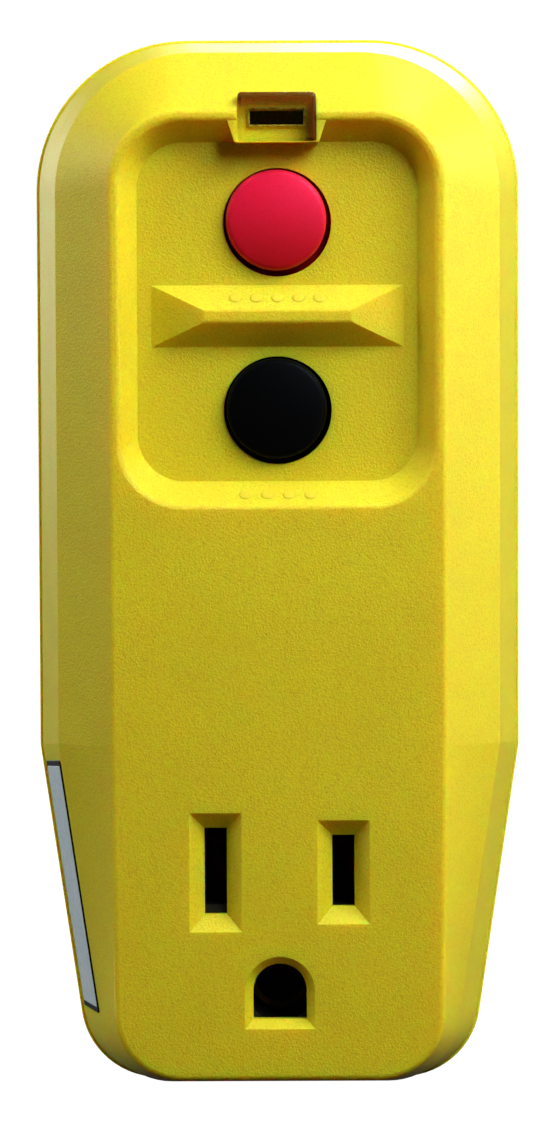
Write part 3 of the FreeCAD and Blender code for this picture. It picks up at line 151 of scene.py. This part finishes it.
# Softboxes: name, azimuth round the object from the front, elevation, watts, then
# distance and side length in metres. The low fill is a little warmer than the rest.
WARM = (1.0, 0.68, 0.62)
LAMPS = [
    ("key", 55, 40, 0.34, 0.28, 0.08),
    ("key_front", 30, 45, 0.22, 0.28, 0.10),
    ("overhead", 0, 75, 0.12, 0.28, 0.08),
    ("key_far", 28, 28, 1.7, 0.9, 0.2),
    ("right_upper", 60, 30, 0.5, 0.9, 0.3),
    ("right_side", 85, 15, 0.54, 0.9, 0.3),
    ("right_back", 110, 20, 2.7, 0.9, 0.3),
    ("left_side", -80, 20, 2.1, 0.9, 0.3),
    ("left_back", -110, 20, 1.5, 0.9, 0.3),
    ("upper_left", -50, 50, 0.8, 0.9, 0.3),
    ("low_front", 40, -10, 1.9, 0.9, 0.3, WARM),
    ("rear_left", -150, 10, 0.9, 0.9, 0.3),
    ("rear", 168, 30, 5.0, 0.9, 0.3),
]


# ---------------------------------------------------------------- node materials

class Finish:
    """One procedural material: a Principled shader and the textures that feed it."""

    def __init__(self, name, color, rough, **sockets):
        self.material = bpy.data.materials.new(name)
        self.material.use_nodes = True
        self.tree = self.material.node_tree
        self.shader = self.tree.nodes["Principled BSDF"]
        self.height = None
        self.set("Base Color", (*color, 1.0))
        self.set("Roughness", rough)
        for socket, value in sockets.items():
            self.set(socket.replace("_", " "), value)
        self.place = self.node("TexCoord").outputs["Object"]

    def node(self, kind, links=(), **settings):
        made = self.tree.nodes.new("ShaderNode" + kind)
        for key, value in settings.items():
            setattr(made, key, value)
        for socket, source in dict(links).items():
            self.feed(made.inputs[socket], source)
        return made

    def feed(self, socket, source):
        """Links an output, or sets a plain value, on any socket."""
        if isinstance(source, bpy.types.NodeSocket):
            self.tree.links.new(source, socket)
        else:
            socket.default_value = source

    def set(self, socket, source):
        self.feed(self.shader.inputs[socket], source)

    def stretched(self, scale):
        """Object coordinates, scaled, for grain that runs one way."""
        return self.node("Mapping", {"Vector": self.place, "Scale": scale},
                         vector_type="TEXTURE").outputs["Vector"]

    def noise(self, grain, detail=2.0, rough=0.5, place=None, distort=0.0):
        """Noise whose blotches are about grain metres across."""
        return self.node("TexNoise", {
            "Vector": place or self.place, "Scale": 1.0 / grain, "Detail": detail,
            "Roughness": rough, "Distortion": distort}).outputs["Fac"]

    def cells(self, grain):
        """Distance to the nearest of seeds that lie about grain metres apart."""
        return self.node("TexVoronoi", {"Vector": self.place, "Scale": 1.0 / grain},
                         feature="F1").outputs["Distance"]

    def span(self, source, low, high, start=0.0, end=1.0):
        """Maps start..end of the source to low..high."""
        return self.node("MapRange", {
            "Value": source, "From Min": start, "From Max": end,
            "To Min": low, "To Max": high}).outputs["Result"]

    def math(self, operation, first, second=0.0):
        return self.node("Math", {0: first, 1: second}, operation=operation).outputs[0]

    def blend(self, factor, first, second):
        """Mixes two colours."""
        made = self.node("Mix", data_type="RGBA", blend_type="MIX")
        for socket, source in ((0, factor), (6, first), (7, second)):
            self.feed(made.inputs[socket], source if not isinstance(source, tuple)
                      else (*source[:3], 1.0))
        return made.outputs[2]

    def bump(self, height, depth, strength=1.0):
        """Adds relief of the given depth in metres, on top of earlier relief."""
        made = self.node("Bump", {"Height": height, "Distance": depth, "Strength": strength})
        if self.height is not None:
            self.feed(made.inputs["Normal"], self.height)
        self.height = made.outputs["Normal"]
        self.set("Normal", self.height)


def tone(color, share):
    return tuple(min(1.0, channel * share) for channel in color)


def case_plastic():
    """Translucent yellow plastic with a fine spark-eroded grain that glints."""
    yellow, ochre, amber = (0.93, 0.795, 0.044), (0.76, 0.59, 0.028), (0.56, 0.36, 0.017)
    made = Finish("yellow_case", yellow, 0.42, Subsurface_Weight=0.85,
                  Subsurface_Radius=(1.0, 0.26, 0.045), Subsurface_Scale=2.1 * MM,
                  IOR=1.49, Specular_IOR_Level=0.34, Subsurface_Anisotropy=0.0)
    cloud = made.noise(9 * MM, 3.0, 0.6)
    speck = made.noise(0.24 * MM, 3.0, 0.75)
    color = made.blend(made.span(cloud, 0.0, 1.0, 0.35, 0.68), tone(yellow, 0.95), yellow)
    color = made.blend(made.span(speck, 0.0, 0.7, 0.46, 0.68), color, ochre)
    color = made.blend(made.span(speck, 0.0, 0.35, 0.61, 0.76), color, amber)
    made.set("Base Color", color)
    made.set("Roughness", made.span(made.noise(0.22 * MM, 2.0), 0.28, 0.56, 0.3, 0.7))
    made.bump(made.noise(1.6 * MM, 2.0), 12 * MICRON, 0.35)
    made.bump(made.noise(0.21 * MM, 3.0, 0.7), 60 * MICRON, 1.0)
    made.bump(made.cells(0.28 * MM), 36 * MICRON, 0.6)
    return made.material


def moulded_mark():
    """The case's plastic where it stands up in thin marks that light passes through."""
    made = Finish("moulded_mark", (0.80, 0.66, 0.035), 0.5, IOR=1.49, Specular_IOR_Level=0.3)
    speck = made.noise(0.24 * MM, 3.0, 0.75)
    made.set("Base Color", made.blend(made.span(speck, 0.0, 0.8, 0.44, 0.7), (0.84, 0.71, 0.045),
                                      (0.74, 0.57, 0.030)))
    made.bump(made.noise(0.19 * MM, 3.0, 0.7), 24 * MICRON, 0.6)
    return made.material


def button_plastic(name, color, shaded_color, rough, sub, scatter, level, glint, gloss):
    """Moulded button: painted shade deepens its colour towards its lower side; satin face, tiny
    specks.
    """
    made = Finish(name, color, rough, Subsurface_Weight=sub, Subsurface_Radius=scatter,
                  Subsurface_Scale=0.8 * MM, IOR=1.5, Specular_IOR_Level=gloss,
                  Specular_Tint=(*glint, 1.0))
    rise = made.node("SeparateXYZ", {"Vector": made.place}).outputs["Z"]
    cloud = made.noise(3.2 * MM, 3.0, 0.6)
    wander = made.math("ADD", rise, made.math("MULTIPLY", cloud, 1.6 * MM))
    # Painted shade: the cap's colour darkens from its upper side down to its lower side.
    share = made.span(wander, 0.0, 1.0, level + 4.8 * MM, level - 4.6 * MM)
    speck = made.noise(0.22 * MM, 2.0, 0.7)
    face = made.blend(share, color, shaded_color)
    made.set("Base Color", made.blend(made.span(speck, 0.0, 0.25, 0.5, 0.8), face,
                                      tone(shaded_color, 0.8)))
    made.set("Roughness", made.span(made.noise(0.25 * MM, 2.0), rough - 0.07, rough + 0.1, 0.3,
                                    0.7))
    made.bump(made.noise(0.17 * MM, 2.0, 0.6), 10 * MICRON, 0.4)
    made.bump(made.noise(1.1 * MM, 2.0), 9 * MICRON, 0.35)
    return made.material


def window_plastic(high):
    """Clear window with painted shade: darker and less clear where its upper and right sides meet
    the seat.
    """
    made = Finish("clear_lens", (0.06, 0.05, 0.01), 0.10, IOR=1.49, Specular_IOR_Level=0.25)
    spot = made.node("SeparateXYZ", {"Vector": made.place})
    wander = made.math("MULTIPLY", made.noise(0.7 * MM, 3.0, 0.7), 0.5 * MM)
    down = made.math("ADD", made.math("SUBTRACT", high.z, spot.outputs["Z"]), wander)
    inward = made.math("ADD", made.math("SUBTRACT", high.x, spot.outputs["X"]), wander)
    # Painted shade: dark brown, nearly opaque bands along the window's upper and right edges.
    upper = made.span(down, 1.0, 0.0, 0.75 * MM, 1.75 * MM)
    right = made.span(inward, 1.0, 0.0, 0.5 * MM, 1.35 * MM)
    shade = made.math("MAXIMUM", upper, right)
    made.set("Base Color", made.blend(shade, (0.10, 0.08, 0.01), (0.17, 0.055, 0.010)))
    made.set("Alpha", made.span(shade, 0.06, 0.78))
    made.set("Roughness", made.span(made.noise(0.5 * MM, 2.0), 0.06, 0.22, 0.35, 0.7))
    made.bump(made.noise(1.2 * MM, 2.0, distort=0.4), 30 * MICRON, 0.6)
    made.bump(made.noise(0.3 * MM, 2.0), 8 * MICRON, 0.4)
    return made.material


def lens_plastic():
    """Clear moulded plastic with faint flow lines."""
    made = Finish("clear_plastic", (0.98, 0.96, 0.86), 0.04, Transmission_Weight=1.0, IOR=1.49,
                  Specular_IOR_Level=0.6)
    made.set("Roughness", made.span(made.noise(0.5 * MM, 2.0), 0.02, 0.12, 0.35, 0.7))
    made.bump(made.noise(1.2 * MM, 2.0, distort=0.4), 16 * MICRON, 0.4)
    return made.material


def slot_plastic():
    """Polished clear edge that catches the light round the slot."""
    made = Finish("slot_edge", (0.62, 0.50, 0.06), 0.12, IOR=1.49, Specular_IOR_Level=0.9)
    flow = made.noise(0.5 * MM, 3.0, 0.7)
    made.set("Base Color", made.blend(made.span(flow, 0.0, 1.0, 0.4, 0.65), (0.72, 0.60, 0.07),
                                      (0.20, 0.12, 0.015)))
    made.set("Roughness", made.span(flow, 0.06, 0.3, 0.3, 0.7))
    made.bump(flow, 20 * MICRON, 0.6)
    return made.material


def label_paper():
    """Pale metallised label stock, mottled blue grey."""
    made = Finish("label_paper", (0.52, 0.66, 0.72), 0.45, Coat_Weight=0.15, Coat_Roughness=0.3)
    flecks = made.noise(0.42 * MM, 3.0, 0.75)
    cloud = made.noise(3.0 * MM, 3.0, 0.6)
    color = made.blend(made.span(cloud, 0.0, 1.0, 0.35, 0.7), (0.74, 0.90, 0.96),
                       (0.90, 0.97, 0.99))
    color = made.blend(made.span(flecks, 0.0, 1.0, 0.56, 0.72), color, (0.30, 0.42, 0.48))
    made.set("Base Color", color)
    made.bump(made.noise(0.3 * MM, 3.0), 8 * MICRON, 0.5)
    return made.material


def label_ink():
    """Black printed frame of the label, slightly worn."""
    made = Finish("label_ink", (0.010, 0.010, 0.011), 0.4)
    worn = made.noise(0.5 * MM, 3.0, 0.7)
    made.set("Base Color", made.blend(made.span(worn, 0.0, 1.0, 0.5, 0.8), (0.008, 0.008, 0.009),
                                      (0.035, 0.036, 0.038)))
    made.bump(worn, 6 * MICRON, 0.4)
    return made.material


def metal(name, color, tint, rough, streak):
    """Rolled or plated metal with fine directional scratches and patches of tarnish."""
    made = Finish(name, color, rough, Metallic=1.0)
    lines = made.noise(0.12 * MM, 3.0, 0.6, made.stretched(streak))
    patches = made.noise(2.6 * MM, 4.0, 0.65)
    made.set("Base Color", made.blend(made.span(patches, 0.0, 1.0, 0.42, 0.72), color, tint))
    made.set("Roughness", made.math("ADD", made.span(lines, rough - 0.08, rough + 0.12, 0.3, 0.7),
                                    made.span(patches, 0.0, 0.12, 0.4, 0.75)))
    made.bump(lines, 6 * MICRON, 0.35)
    made.bump(patches, 3 * MICRON, 0.15)
    return made.material


def moulding(name, color, shade, rough, grain=0.3 * MM):
    """Plain moulded or coated surface with mottling and a fine grain."""
    made = Finish(name, color, rough, Metallic=0.0)
    cloud = made.noise(grain * 9, 3.0, 0.6)
    made.set("Base Color", made.blend(made.span(cloud, 0.0, 1.0, 0.35, 0.7), color, shade))
    made.set("Roughness", made.span(made.noise(grain, 2.0), rough - 0.08, rough + 0.1, 0.3, 0.7))
    made.bump(made.noise(grain, 3.0), 12 * MICRON, 0.4)
    return made.material


def wound_wire():
    """Copper winding: fine turns seen as ridges."""
    made = Finish("copper_wire", (0.72, 0.26, 0.09), 0.3, Metallic=1.0)
    wave = made.node("TexWave", {"Vector": made.place, "Scale": 900.0, "Distortion": 1.5,
                                 "Detail": 1.0}, wave_type="BANDS", bands_direction="Z")
    turns = wave.outputs["Fac"]
    made.set("Base Color", made.blend(turns, (0.33, 0.09, 0.03), (0.80, 0.32, 0.12)))
    made.bump(turns, 90 * MICRON, 0.7)
    return made.material


def laminate():
    """Green board with woven glass under the mask and tinned pads."""
    made = Finish("board_laminate", (0.02, 0.16, 0.06), 0.35)
    weave = made.cells(0.6 * MM)
    made.set("Base Color", made.blend(weave, (0.015, 0.13, 0.05), (0.05, 0.24, 0.10)))
    made.bump(weave, 14 * MICRON, 0.4)
    return made.material


def plain_finishes():
    """Metals (colour, tarnish, roughness, run of the grain) and plain mouldings."""
    brass, bright = (0.78, 0.60, 0.28), (0.86, 0.74, 0.46)
    along_blade, upright = (0.02, 1.0, 0.02), (0.02, 0.02, 1.0)
    metals = {
        "zinc_screw": ((0.70, 0.71, 0.70), (0.50, 0.50, 0.47), 0.28, upright),
        "blade_brass": (bright, brass, 0.26, along_blade),
        "pin_brass": (bright, brass, 0.24, along_blade),
        # Painted shade: the contacts' brass is darkened to the near black they show deep inside
        # the slots.
        "contact_brass": ((0.20, 0.14, 0.06), (0.12, 0.08, 0.035), 0.36, upright),
        "plated_steel": ((0.62, 0.61, 0.58), (0.42, 0.41, 0.38), 0.3, upright),
        "spring_steel": ((0.50, 0.50, 0.50), (0.34, 0.33, 0.32), 0.25, upright),
        "silver_tip": ((0.86, 0.85, 0.82), (0.62, 0.60, 0.56), 0.3, upright),
    }
    mouldings = {
        "black_moulding": ((0.012, 0.012, 0.013), (0.020, 0.019, 0.018), 0.5),
        "white_moulding": ((0.72, 0.71, 0.66), (0.64, 0.62, 0.56), 0.45),
        "ferrite": ((0.045, 0.045, 0.05), (0.07, 0.07, 0.075), 0.6, 0.2 * MM),
        "black_insulation": ((0.014, 0.014, 0.015), (0.022, 0.022, 0.022), 0.42),
        "white_insulation": ((0.80, 0.80, 0.77), (0.70, 0.69, 0.65), 0.42),
        "blue_coating": ((0.03, 0.09, 0.34), (0.02, 0.06, 0.25), 0.3, 0.5 * MM),
        "black_can": ((0.015, 0.016, 0.022), (0.03, 0.03, 0.035), 0.35),
        "resistor_coating": ((0.58, 0.44, 0.27), (0.48, 0.34, 0.19), 0.5),
        "chip_epoxy": ((0.022, 0.022, 0.024), (0.034, 0.034, 0.036), 0.55),
        # Painted shade: the LED's red epoxy is darkened to the black of the deep slot behind the
        # window.
        "led_epoxy": ((0.060, 0.008, 0.006), (0.040, 0.006, 0.005), 0.2),
    }
    finishes = {name: metal(name, *look) for name, look in metals.items()}
    finishes.update((name, moulding(name, *look)) for name, look in mouldings.items())
    return finishes


def dress_nodes():
    """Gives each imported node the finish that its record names."""
    finishes = plain_finishes()
    finishes.update({
        "yellow_case": case_plastic(),
        "red_button": button_plastic(
            "red_button", (1.0, 0.024, 0.095), (0.52, 0.013, 0.010), 0.42, 0.5,
            (1.0, 0.12, 0.10), level_of("reset_button"), (1.0, 0.35, 0.75), 0.5),
        "black_button": button_plastic(
            "black_button", (0.0032, 0.0032, 0.0036), (0.004, 0.0036, 0.0036), 0.46, 0.0,
            (1.0, 1.0, 1.0), level_of("test_button"), (0.6, 0.8, 1.0), 0.09),
        "clear_lens": lens_plastic(),
        "label_paper": label_paper(),
        "copper_wire": wound_wire(),
        "board_laminate": laminate(),
    })
    for part in frame["record"]["subparts"]:
        holder = NODES[part["node"]]
        for index in range(len(holder.material_slots)):
            holder.material_slots[index].material = finishes[part["material_slot"]]
    return finishes


# ---------------------------------------------------------------- surface helpers

def level_of(name):
    """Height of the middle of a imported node."""
    low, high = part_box(name)
    return (low.z + high.z) / 2


def surface_of(name):
    """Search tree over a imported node's mesh."""
    mesh = NODES[name].data
    return BVHTree.FromPolygons([v.co for v in mesh.vertices], [p.vertices for p in mesh.polygons])


def front_point(tree, level):
    """Where a line from the front first meets the mesh at x = 0, and the normal there."""
    place, normal = tree.ray_cast(Vector((0, FAR_IN_FRONT, level)), Vector((0, 1, 0)))[:2]
    return place, normal if normal.y < 0 else -normal


def settle(shell, name, smooth=True):
    """Turns the shell's faces outwards and hands it over as a mesh."""
    mesh = bpy.data.meshes.new(name)
    bmesh.ops.recalc_face_normals(shell, faces=shell.faces)
    for face in shell.faces:
        face.smooth = smooth
    shell.to_mesh(mesh)
    shell.free()
    return mesh


def add_piece(name, mesh, finish, body):
    """Links a piece that rides on a CAD body and wears one finish."""
    made = bpy.data.objects.new(name, mesh)
    bpy.context.scene.collection.objects.link(made)
    mesh.materials.clear()
    mesh.materials.append(finish)
    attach(made, body)
    return made


def bridge(shell, rings):
    """Joins each ring of corners to the next one with quads."""
    for first, second in zip(rings, rings[1:]):
        count = len(first)
        for k in range(count):
            shell.faces.new((first[k], first[(k + 1) % count],
                             second[(k + 1) % count], second[k]))


# ---------------------------------------------------------------- buttons

def lathe(name, profile, finish, body):
    """Turns (radius, centre) rows round lines that stand square to the wall."""
    shell = bmesh.new()
    rings = []
    for radius, centre in profile:
        if radius == 0:
            rings.append([shell.verts.new(centre)] * LATHE_SIDES)
            continue
        ring = []
        for k in range(LATHE_SIDES):
            angle = math.tau * k / LATHE_SIDES
            ring.append(shell.verts.new(
                centre + Vector((radius * math.cos(angle), 0, radius * math.sin(angle)))))
        rings.append(ring)
    for back, front in zip(rings, rings[1:]):
        for k in range(LATHE_SIDES):
            after = (k + 1) % LATHE_SIDES
            corners = [back[k], back[after], front[after], front[k]]
            shell.faces.new(list(dict.fromkeys(corners)))
    return add_piece(name, settle(shell, name), finish, body)


def button_cap(name, node, finish, body):
    """Domed cap with a rounded rim, its flange and its stem; the cap sits off centre."""
    low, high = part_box(node)
    level = level_of(node)
    middle = (low.x + high.x) / 2
    profile = []

    def ring(radius, depth, off=0.0):
        profile.append((radius * MM, Vector((middle - CAP_LEFT * off, -depth * MM,
                                             level + CAP_RISE * off))))

    front = -low.y / MM
    ring(0, -high.y / MM)
    ring(STEM_RADIUS - STEM_SOFT, -high.y / MM)
    ring(STEM_RADIUS, -high.y / MM + STEM_SOFT)
    ring(STEM_RADIUS, FLANGE_BACK)
    ring(FLANGE_RADIUS - FLANGE_SOFT, FLANGE_BACK)
    ring(FLANGE_RADIUS, FLANGE_BACK + FLANGE_SOFT)
    ring(FLANGE_RADIUS, FLANGE_FRONT - FLANGE_SOFT)
    ring(FLANGE_RADIUS - FLANGE_SOFT, FLANGE_FRONT)
    ring(CAP_RADIUS, FLANGE_FRONT, 1.0)
    shoulder = front - CAP_DOME - RIM_ROUND
    for step in range(RIM_STEPS + 1):
        angle = math.radians(RIM_TURN * step / RIM_STEPS)
        ring(CAP_RADIUS - RIM_ROUND * (1 - math.cos(angle)),
             shoulder + RIM_ROUND * math.sin(angle), 1.0)
    edge_radius = profile[-1][0] / MM
    edge_depth = -profile[-1][1].y / MM
    for step in range(1, DOME_STEPS + 1):
        share = 1 - step / DOME_STEPS
        ring(edge_radius * share, edge_depth + (front - edge_depth) * (1 - share ** 2), 1.0)
    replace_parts(lathe(name, profile, finish, body), node)


# ---------------------------------------------------------------- springs

def coil_spring(name, node, fixed_way, wire, pitch, finish):
    """Open coil wound from its fixed seat along the length of the node it stands for."""
    low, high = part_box(node)
    middle = (low + high) / 2
    length = abs((high - low).dot(fixed_way))
    radius = (high.x - low.x) / 2 - wire
    across = Vector((1, 0, 0))
    upward = fixed_way.cross(across)
    seat = middle - fixed_way * length / 2
    turns = (length - 2 * wire) / pitch
    steps = int(turns * COIL_STEPS)
    shell = bmesh.new()
    rings = []
    for step in range(steps + 1):
        angle = math.tau * turns * step / steps
        radial = across * math.cos(angle) + upward * math.sin(angle)
        along = wire + (length - 2 * wire) * step / steps
        centre = seat + fixed_way * along + radial * radius
        section = []
        for k in range(WIRE_SIDES):
            around = math.tau * k / WIRE_SIDES
            section.append(shell.verts.new(
                centre + wire * (radial * math.cos(around) + fixed_way * math.sin(around))))
        rings.append(section)
    bridge(shell, rings)
    shell.faces.new(rings[0][::-1])
    shell.faces.new(rings[-1])
    spring = add_piece(name, settle(shell, name), finish, "case")
    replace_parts(spring, node)
    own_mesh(spring)


# ---------------------------------------------------------------- indicator window

def bevelled_slab(shell, low, high, soften):
    """Adds a box with softened edges to the mesh under construction."""
    made = bmesh.ops.create_cube(shell, size=1.0)["verts"]
    for vertex in made:
        for axis in range(3):
            vertex.co[axis] = low[axis] + (vertex.co[axis] + 0.5) * (high[axis] - low[axis])
    edges = {edge for vertex in made for edge in vertex.link_edges}
    bmesh.ops.bevel(shell, geom=list(edges), offset=soften, segments=SOFT_STEPS, profile=0.5,
                    affect="EDGES")


def indicator_window(finish, edge_finish):
    """Window slab with a softened rim, and the raised frame moulded round its slot."""
    low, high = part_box("indicator_lens")
    shell = bmesh.new()
    bevelled_slab(shell, low, high, WINDOW_SOFT)
    window = add_piece("indicator_window", settle(shell, "indicator_window", False), finish,
                       "case")
    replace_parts(window, "indicator_lens")
    shell = bmesh.new()
    middle = (low + high) / 2
    back = high.y - FRAME_LIFT
    wide, tall, bar, deep = (length * MM for length in SLOT_FRAME)
    for left, right, bottom, top in (
            (-wide, wide, tall - bar, tall), (-wide, wide, -tall, bar - tall),
            (-wide, bar - wide, bar - tall, tall - bar),
            (wide - bar, wide, bar - tall, tall - bar)):
        bevelled_slab(shell, Vector((middle.x + left, back - deep, middle.z + bottom)),
                      Vector((middle.x + right, back, middle.z + top)), FRAME_SOFT)
    add_piece("slot_frame", settle(shell, "slot_frame", False), edge_finish, "case")


# ---------------------------------------------------------------- raised marks

def raised_marks(name, tree, level, wide, count, finish):
    """A row of low round domes moulded on the slope that faces up and forwards."""
    place, normal = front_point(tree, level)
    up = (Vector((0, 0, 1)) - normal * normal.z).normalized()
    turn = Matrix((Vector((1, 0, 0)), up, normal)).transposed().to_4x4()
    shell = bmesh.new()
    pitch = wide / count
    for index in range(count):
        across = (index + 0.5) * pitch - wide / 2
        rings = []
        for share, height in MARK_PROFILE:
            ring = []
            for k in range(MARK_SIDES):
                angle = math.tau * k / MARK_SIDES
                reach = MARK_RADIUS * share
                ring.append(shell.verts.new(Vector((
                    across + reach * math.cos(angle), reach * math.sin(angle), height))))
            rings.append(ring)
        bridge(shell, rings)
        shell.faces.new(rings[-1])
        shell.faces.new(rings[0][::-1])
    shell.transform(Matrix.Translation(place) @ turn)
    add_piece(name, settle(shell, name), finish, "case")


# ---------------------------------------------------------------- side label

def label_corners():
    """The four outer corners of the side label, from the top front corner round."""
    mesh = NODES["side_label"].data
    spots = []
    for vertex in mesh.vertices:
        if all((vertex.co - other).length > SAME_SPOT for other in spots):
            spots.append(vertex.co.copy())
    face = max(mesh.polygons, key=lambda p: p.area * (p.normal.x < 0))
    outward = face.normal.copy()
    outer = sorted(spots, key=lambda p: -p.dot(outward))[:4]
    centre = sum(outer, Vector()) / 4
    across = outward.cross(Vector((0, 0, 1))).normalized()
    rise = across.cross(outward).normalized()
    rise = rise if rise.z > 0 else -rise
    outer.sort(key=lambda p: math.atan2((p - centre).dot(rise), (p - centre).dot(across)))
    return outer, outward


def flat_sheet(name, corners, outward, thick, radius, finish, body, inset=0.0):
    """Thin sheet with rounded corners and soft edges between four corner points."""
    centre = sum(corners, Vector()) / 4
    rim = []
    for index, corner in enumerate(corners):
        ways = [(corners[index - 1] - corner).normalized(),
                (corners[(index + 1) % 4] - corner).normalized()]
        seat = corner + (ways[0] + ways[1]) * inset
        start, end = seat + ways[0] * radius, seat + ways[1] * radius
        for step in range(CORNER_STEPS + 1):
            t = step / CORNER_STEPS
            rim.append(start * (1 - t) ** 2 + seat * 2 * t * (1 - t) + end * t ** 2)
    shell = bmesh.new()
    lower = [shell.verts.new(p - outward * thick) for p in rim]
    middle = [shell.verts.new(p - outward * thick * EDGE_DROP) for p in rim]
    upper = [shell.verts.new(p + (centre - p).normalized() * thick * EDGE_LEAN) for p in rim]
    bridge(shell, (lower, middle, upper))
    shell.faces.new(upper)
    shell.faces.new(lower[::-1])
    return add_piece(name, settle(shell, name, False), finish, body)


def side_label(finishes):
    """The label's black printed frame, and its pale field just above it."""
    corners, outward = label_corners()
    frame_sheet = flat_sheet("label_frame", corners, outward, LABEL_THICK, LABEL_CORNER,
                             finishes["label_ink"], "case")
    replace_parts(frame_sheet, "side_label")
    lifted = [corner + outward * FIELD_LIFT for corner in corners]
    flat_sheet("label_field", lifted, outward, LABEL_THICK, FIELD_CORNER,
               finishes["label_paper"], "case", LABEL_BORDER)


# ---------------------------------------------------------------- stage, lights and camera

def direction(azimuth, elevation):
    """Unit vector from the object towards a place seen at azimuth round it, 0 in front."""
    a, e = math.radians(azimuth), math.radians(elevation)
    return Vector((math.sin(a) * math.cos(e), -math.cos(a) * math.cos(e), math.sin(e)))


def add_light(name, azimuth, elevation, power, distance, side, tint=(1.0, 1.0, 1.0)):
    """Square softbox that points at the middle of the object."""
    data = bpy.data.lights.new(name, "AREA")
    data.size = side
    data.energy = power
    data.color = tint
    made = bpy.data.objects.new(name, data)
    bpy.context.scene.collection.objects.link(made)
    towards = direction(azimuth, elevation)
    middle = (CAD_BOX[0] + CAD_BOX[1]) / 2
    made.location = middle + towards * distance
    made.visible_camera = False
    made.rotation_euler = towards.to_track_quat("Z", "Y").to_euler()


def add_camera():
    """Camera with the photograph's angle, distance and slight roll."""
    data = bpy.data.cameras.new("camera")
    data.lens = CAMERA_LENS
    data.sensor_width = SENSOR
    data.clip_start, data.clip_end = CLIP
    camera = bpy.data.objects.new("camera", data)
    bpy.context.scene.collection.objects.link(camera)
    away = direction(-CAMERA_AZIMUTH, CAMERA_ELEVATION)
    right = Vector((0, 0, 1)).cross(away).normalized()
    up = away.cross(right)
    turn = Matrix((right, up, away)).transposed().to_4x4()
    roll = Matrix.Rotation(math.radians(CAMERA_ROLL), 4, "Z")
    camera.matrix_world = Matrix.Translation(AIM + away * CAMERA_DISTANCE) @ turn @ roll
    bpy.context.scene.camera = camera


def add_stage():
    """Pale seamless bowl: a flat floor that curves up into a wall all round."""
    floor = CAD_BOX[0].z
    profile = [(BOWL_FLAT * 0.5, floor), (BOWL_FLAT, floor)]
    for step in range(1, BEND_STEPS + 1):
        angle = math.radians(90 * step / BEND_STEPS)
        profile.append((BOWL_FLAT + BOWL_BEND * math.sin(angle),
                        floor + BOWL_BEND * (1 - math.cos(angle))))
    profile.append((BOWL_FLAT + BOWL_BEND, floor + BOWL_HIGH))
    mesh = bpy.data.meshes.new("floor")
    bowl = bmesh.new()
    rings = [[bowl.verts.new((0, 0, floor))] * BOWL_SIDES]
    for radius, level in profile:
        rings.append([bowl.verts.new((radius * math.cos(math.tau * k / BOWL_SIDES),
                                      radius * math.sin(math.tau * k / BOWL_SIDES), level))
                      for k in range(BOWL_SIDES)])
    for inner, outer in zip(rings, rings[1:]):
        for k in range(BOWL_SIDES):
            after = (k + 1) % BOWL_SIDES
            corners = (inner[k], outer[k], outer[after], inner[after])
            bowl.faces.new(list(dict.fromkeys(corners)))
    for face in bowl.faces:
        face.smooth = True
    bowl.to_mesh(mesh)
    bowl.free()
    floor_object = bpy.data.objects.new("floor", mesh)
    bpy.context.scene.collection.objects.link(floor_object)
    paper = Finish("pale_paper", (0.08, 0.08, 0.08), 0.9, Specular_IOR_Level=0.0)
    grain = paper.noise(PAPER_GRAIN, 3.0)
    paper.set("Base Color", paper.blend(grain, (0.07, 0.07, 0.07), (0.09, 0.09, 0.09)))
    paper.set("Emission Color", paper.blend(grain, (0.96, 0.96, 0.965), (1.0, 1.0, 1.0)))
    paper.set("Emission Strength", PAPER_GLOW)
    mesh.materials.append(paper.material)
    floor_object.visible_diffuse = False
    floor_object.visible_glossy = False


def add_world():
    """Dim soft light that comes from behind the object, where metal reflects it."""
    world = bpy.data.worlds.new("studio")
    bpy.context.scene.world = world
    world.use_nodes = True
    tree = world.node_tree
    background = tree.nodes["Background"]
    place = tree.nodes.new("ShaderNodeTexCoord").outputs["Generated"]
    parts = tree.nodes.new("ShaderNodeSeparateXYZ")
    tree.links.new(place, parts.inputs[0])
    ramp = tree.nodes.new("ShaderNodeValToRGB")
    tree.links.new(parts.outputs["Y"], ramp.inputs[0])
    ramp.color_ramp.elements[0].position = 0.0
    ramp.color_ramp.elements[0].color = (0.03, 0.03, 0.03, 1)
    ramp.color_ramp.elements[1].position = 0.8
    ramp.color_ramp.elements[1].color = (0.85, 0.87, 0.90, 1)
    tree.links.new(ramp.outputs["Color"], background.inputs["Color"])
    background.inputs["Strength"].default_value = WORLD_LIGHT


def build():
    add_camera()
    add_stage()
    add_world()
    for lamp in LAMPS:
        add_light(*lamp)
    finishes = dress_nodes()
    finishes["label_ink"] = label_ink()
    cover = surface_of("front_cover")
    button_cap("reset_cap", "reset_button", finishes["red_button"], "reset_plunger")
    button_cap("test_cap", "test_button", finishes["black_button"], "test_plunger")
    indicator_window(window_plastic(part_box("indicator_lens")[1]), slot_plastic())
    side_label(finishes)
    steel = finishes["spring_steel"]
    inward, down = Vector((0, 1, 0)), Vector((0, 0, -1))
    coil_spring("reset_coil", "reset_spring", inward,
                BUTTON_WIRE, BUTTON_PITCH, steel)
    coil_spring("test_coil", "test_spring", inward, BUTTON_WIRE,
                BUTTON_PITCH, steel)
    coil_spring("plunger_coil", "plunger_spring", down, FINE_WIRE,
                FINE_PITCH, steel)
    mark = moulded_mark()
    test_level = level_of("test_button")
    ridge_level = (level_of("reset_button") + test_level) / 2
    raised_marks("ridge_marks", cover, ridge_level + RIDGE_MARK_RISE, *RIDGE_ROW, mark)
    raised_marks("lower_marks", cover, test_level - LOWER_MARK_DROP, *LOWER_ROW, mark)


VIEW = bpy.context.scene.view_settings
VIEW.view_transform = "Standard"
VIEW.look = "Medium High Contrast"
VIEW.exposure = -0.25
build()
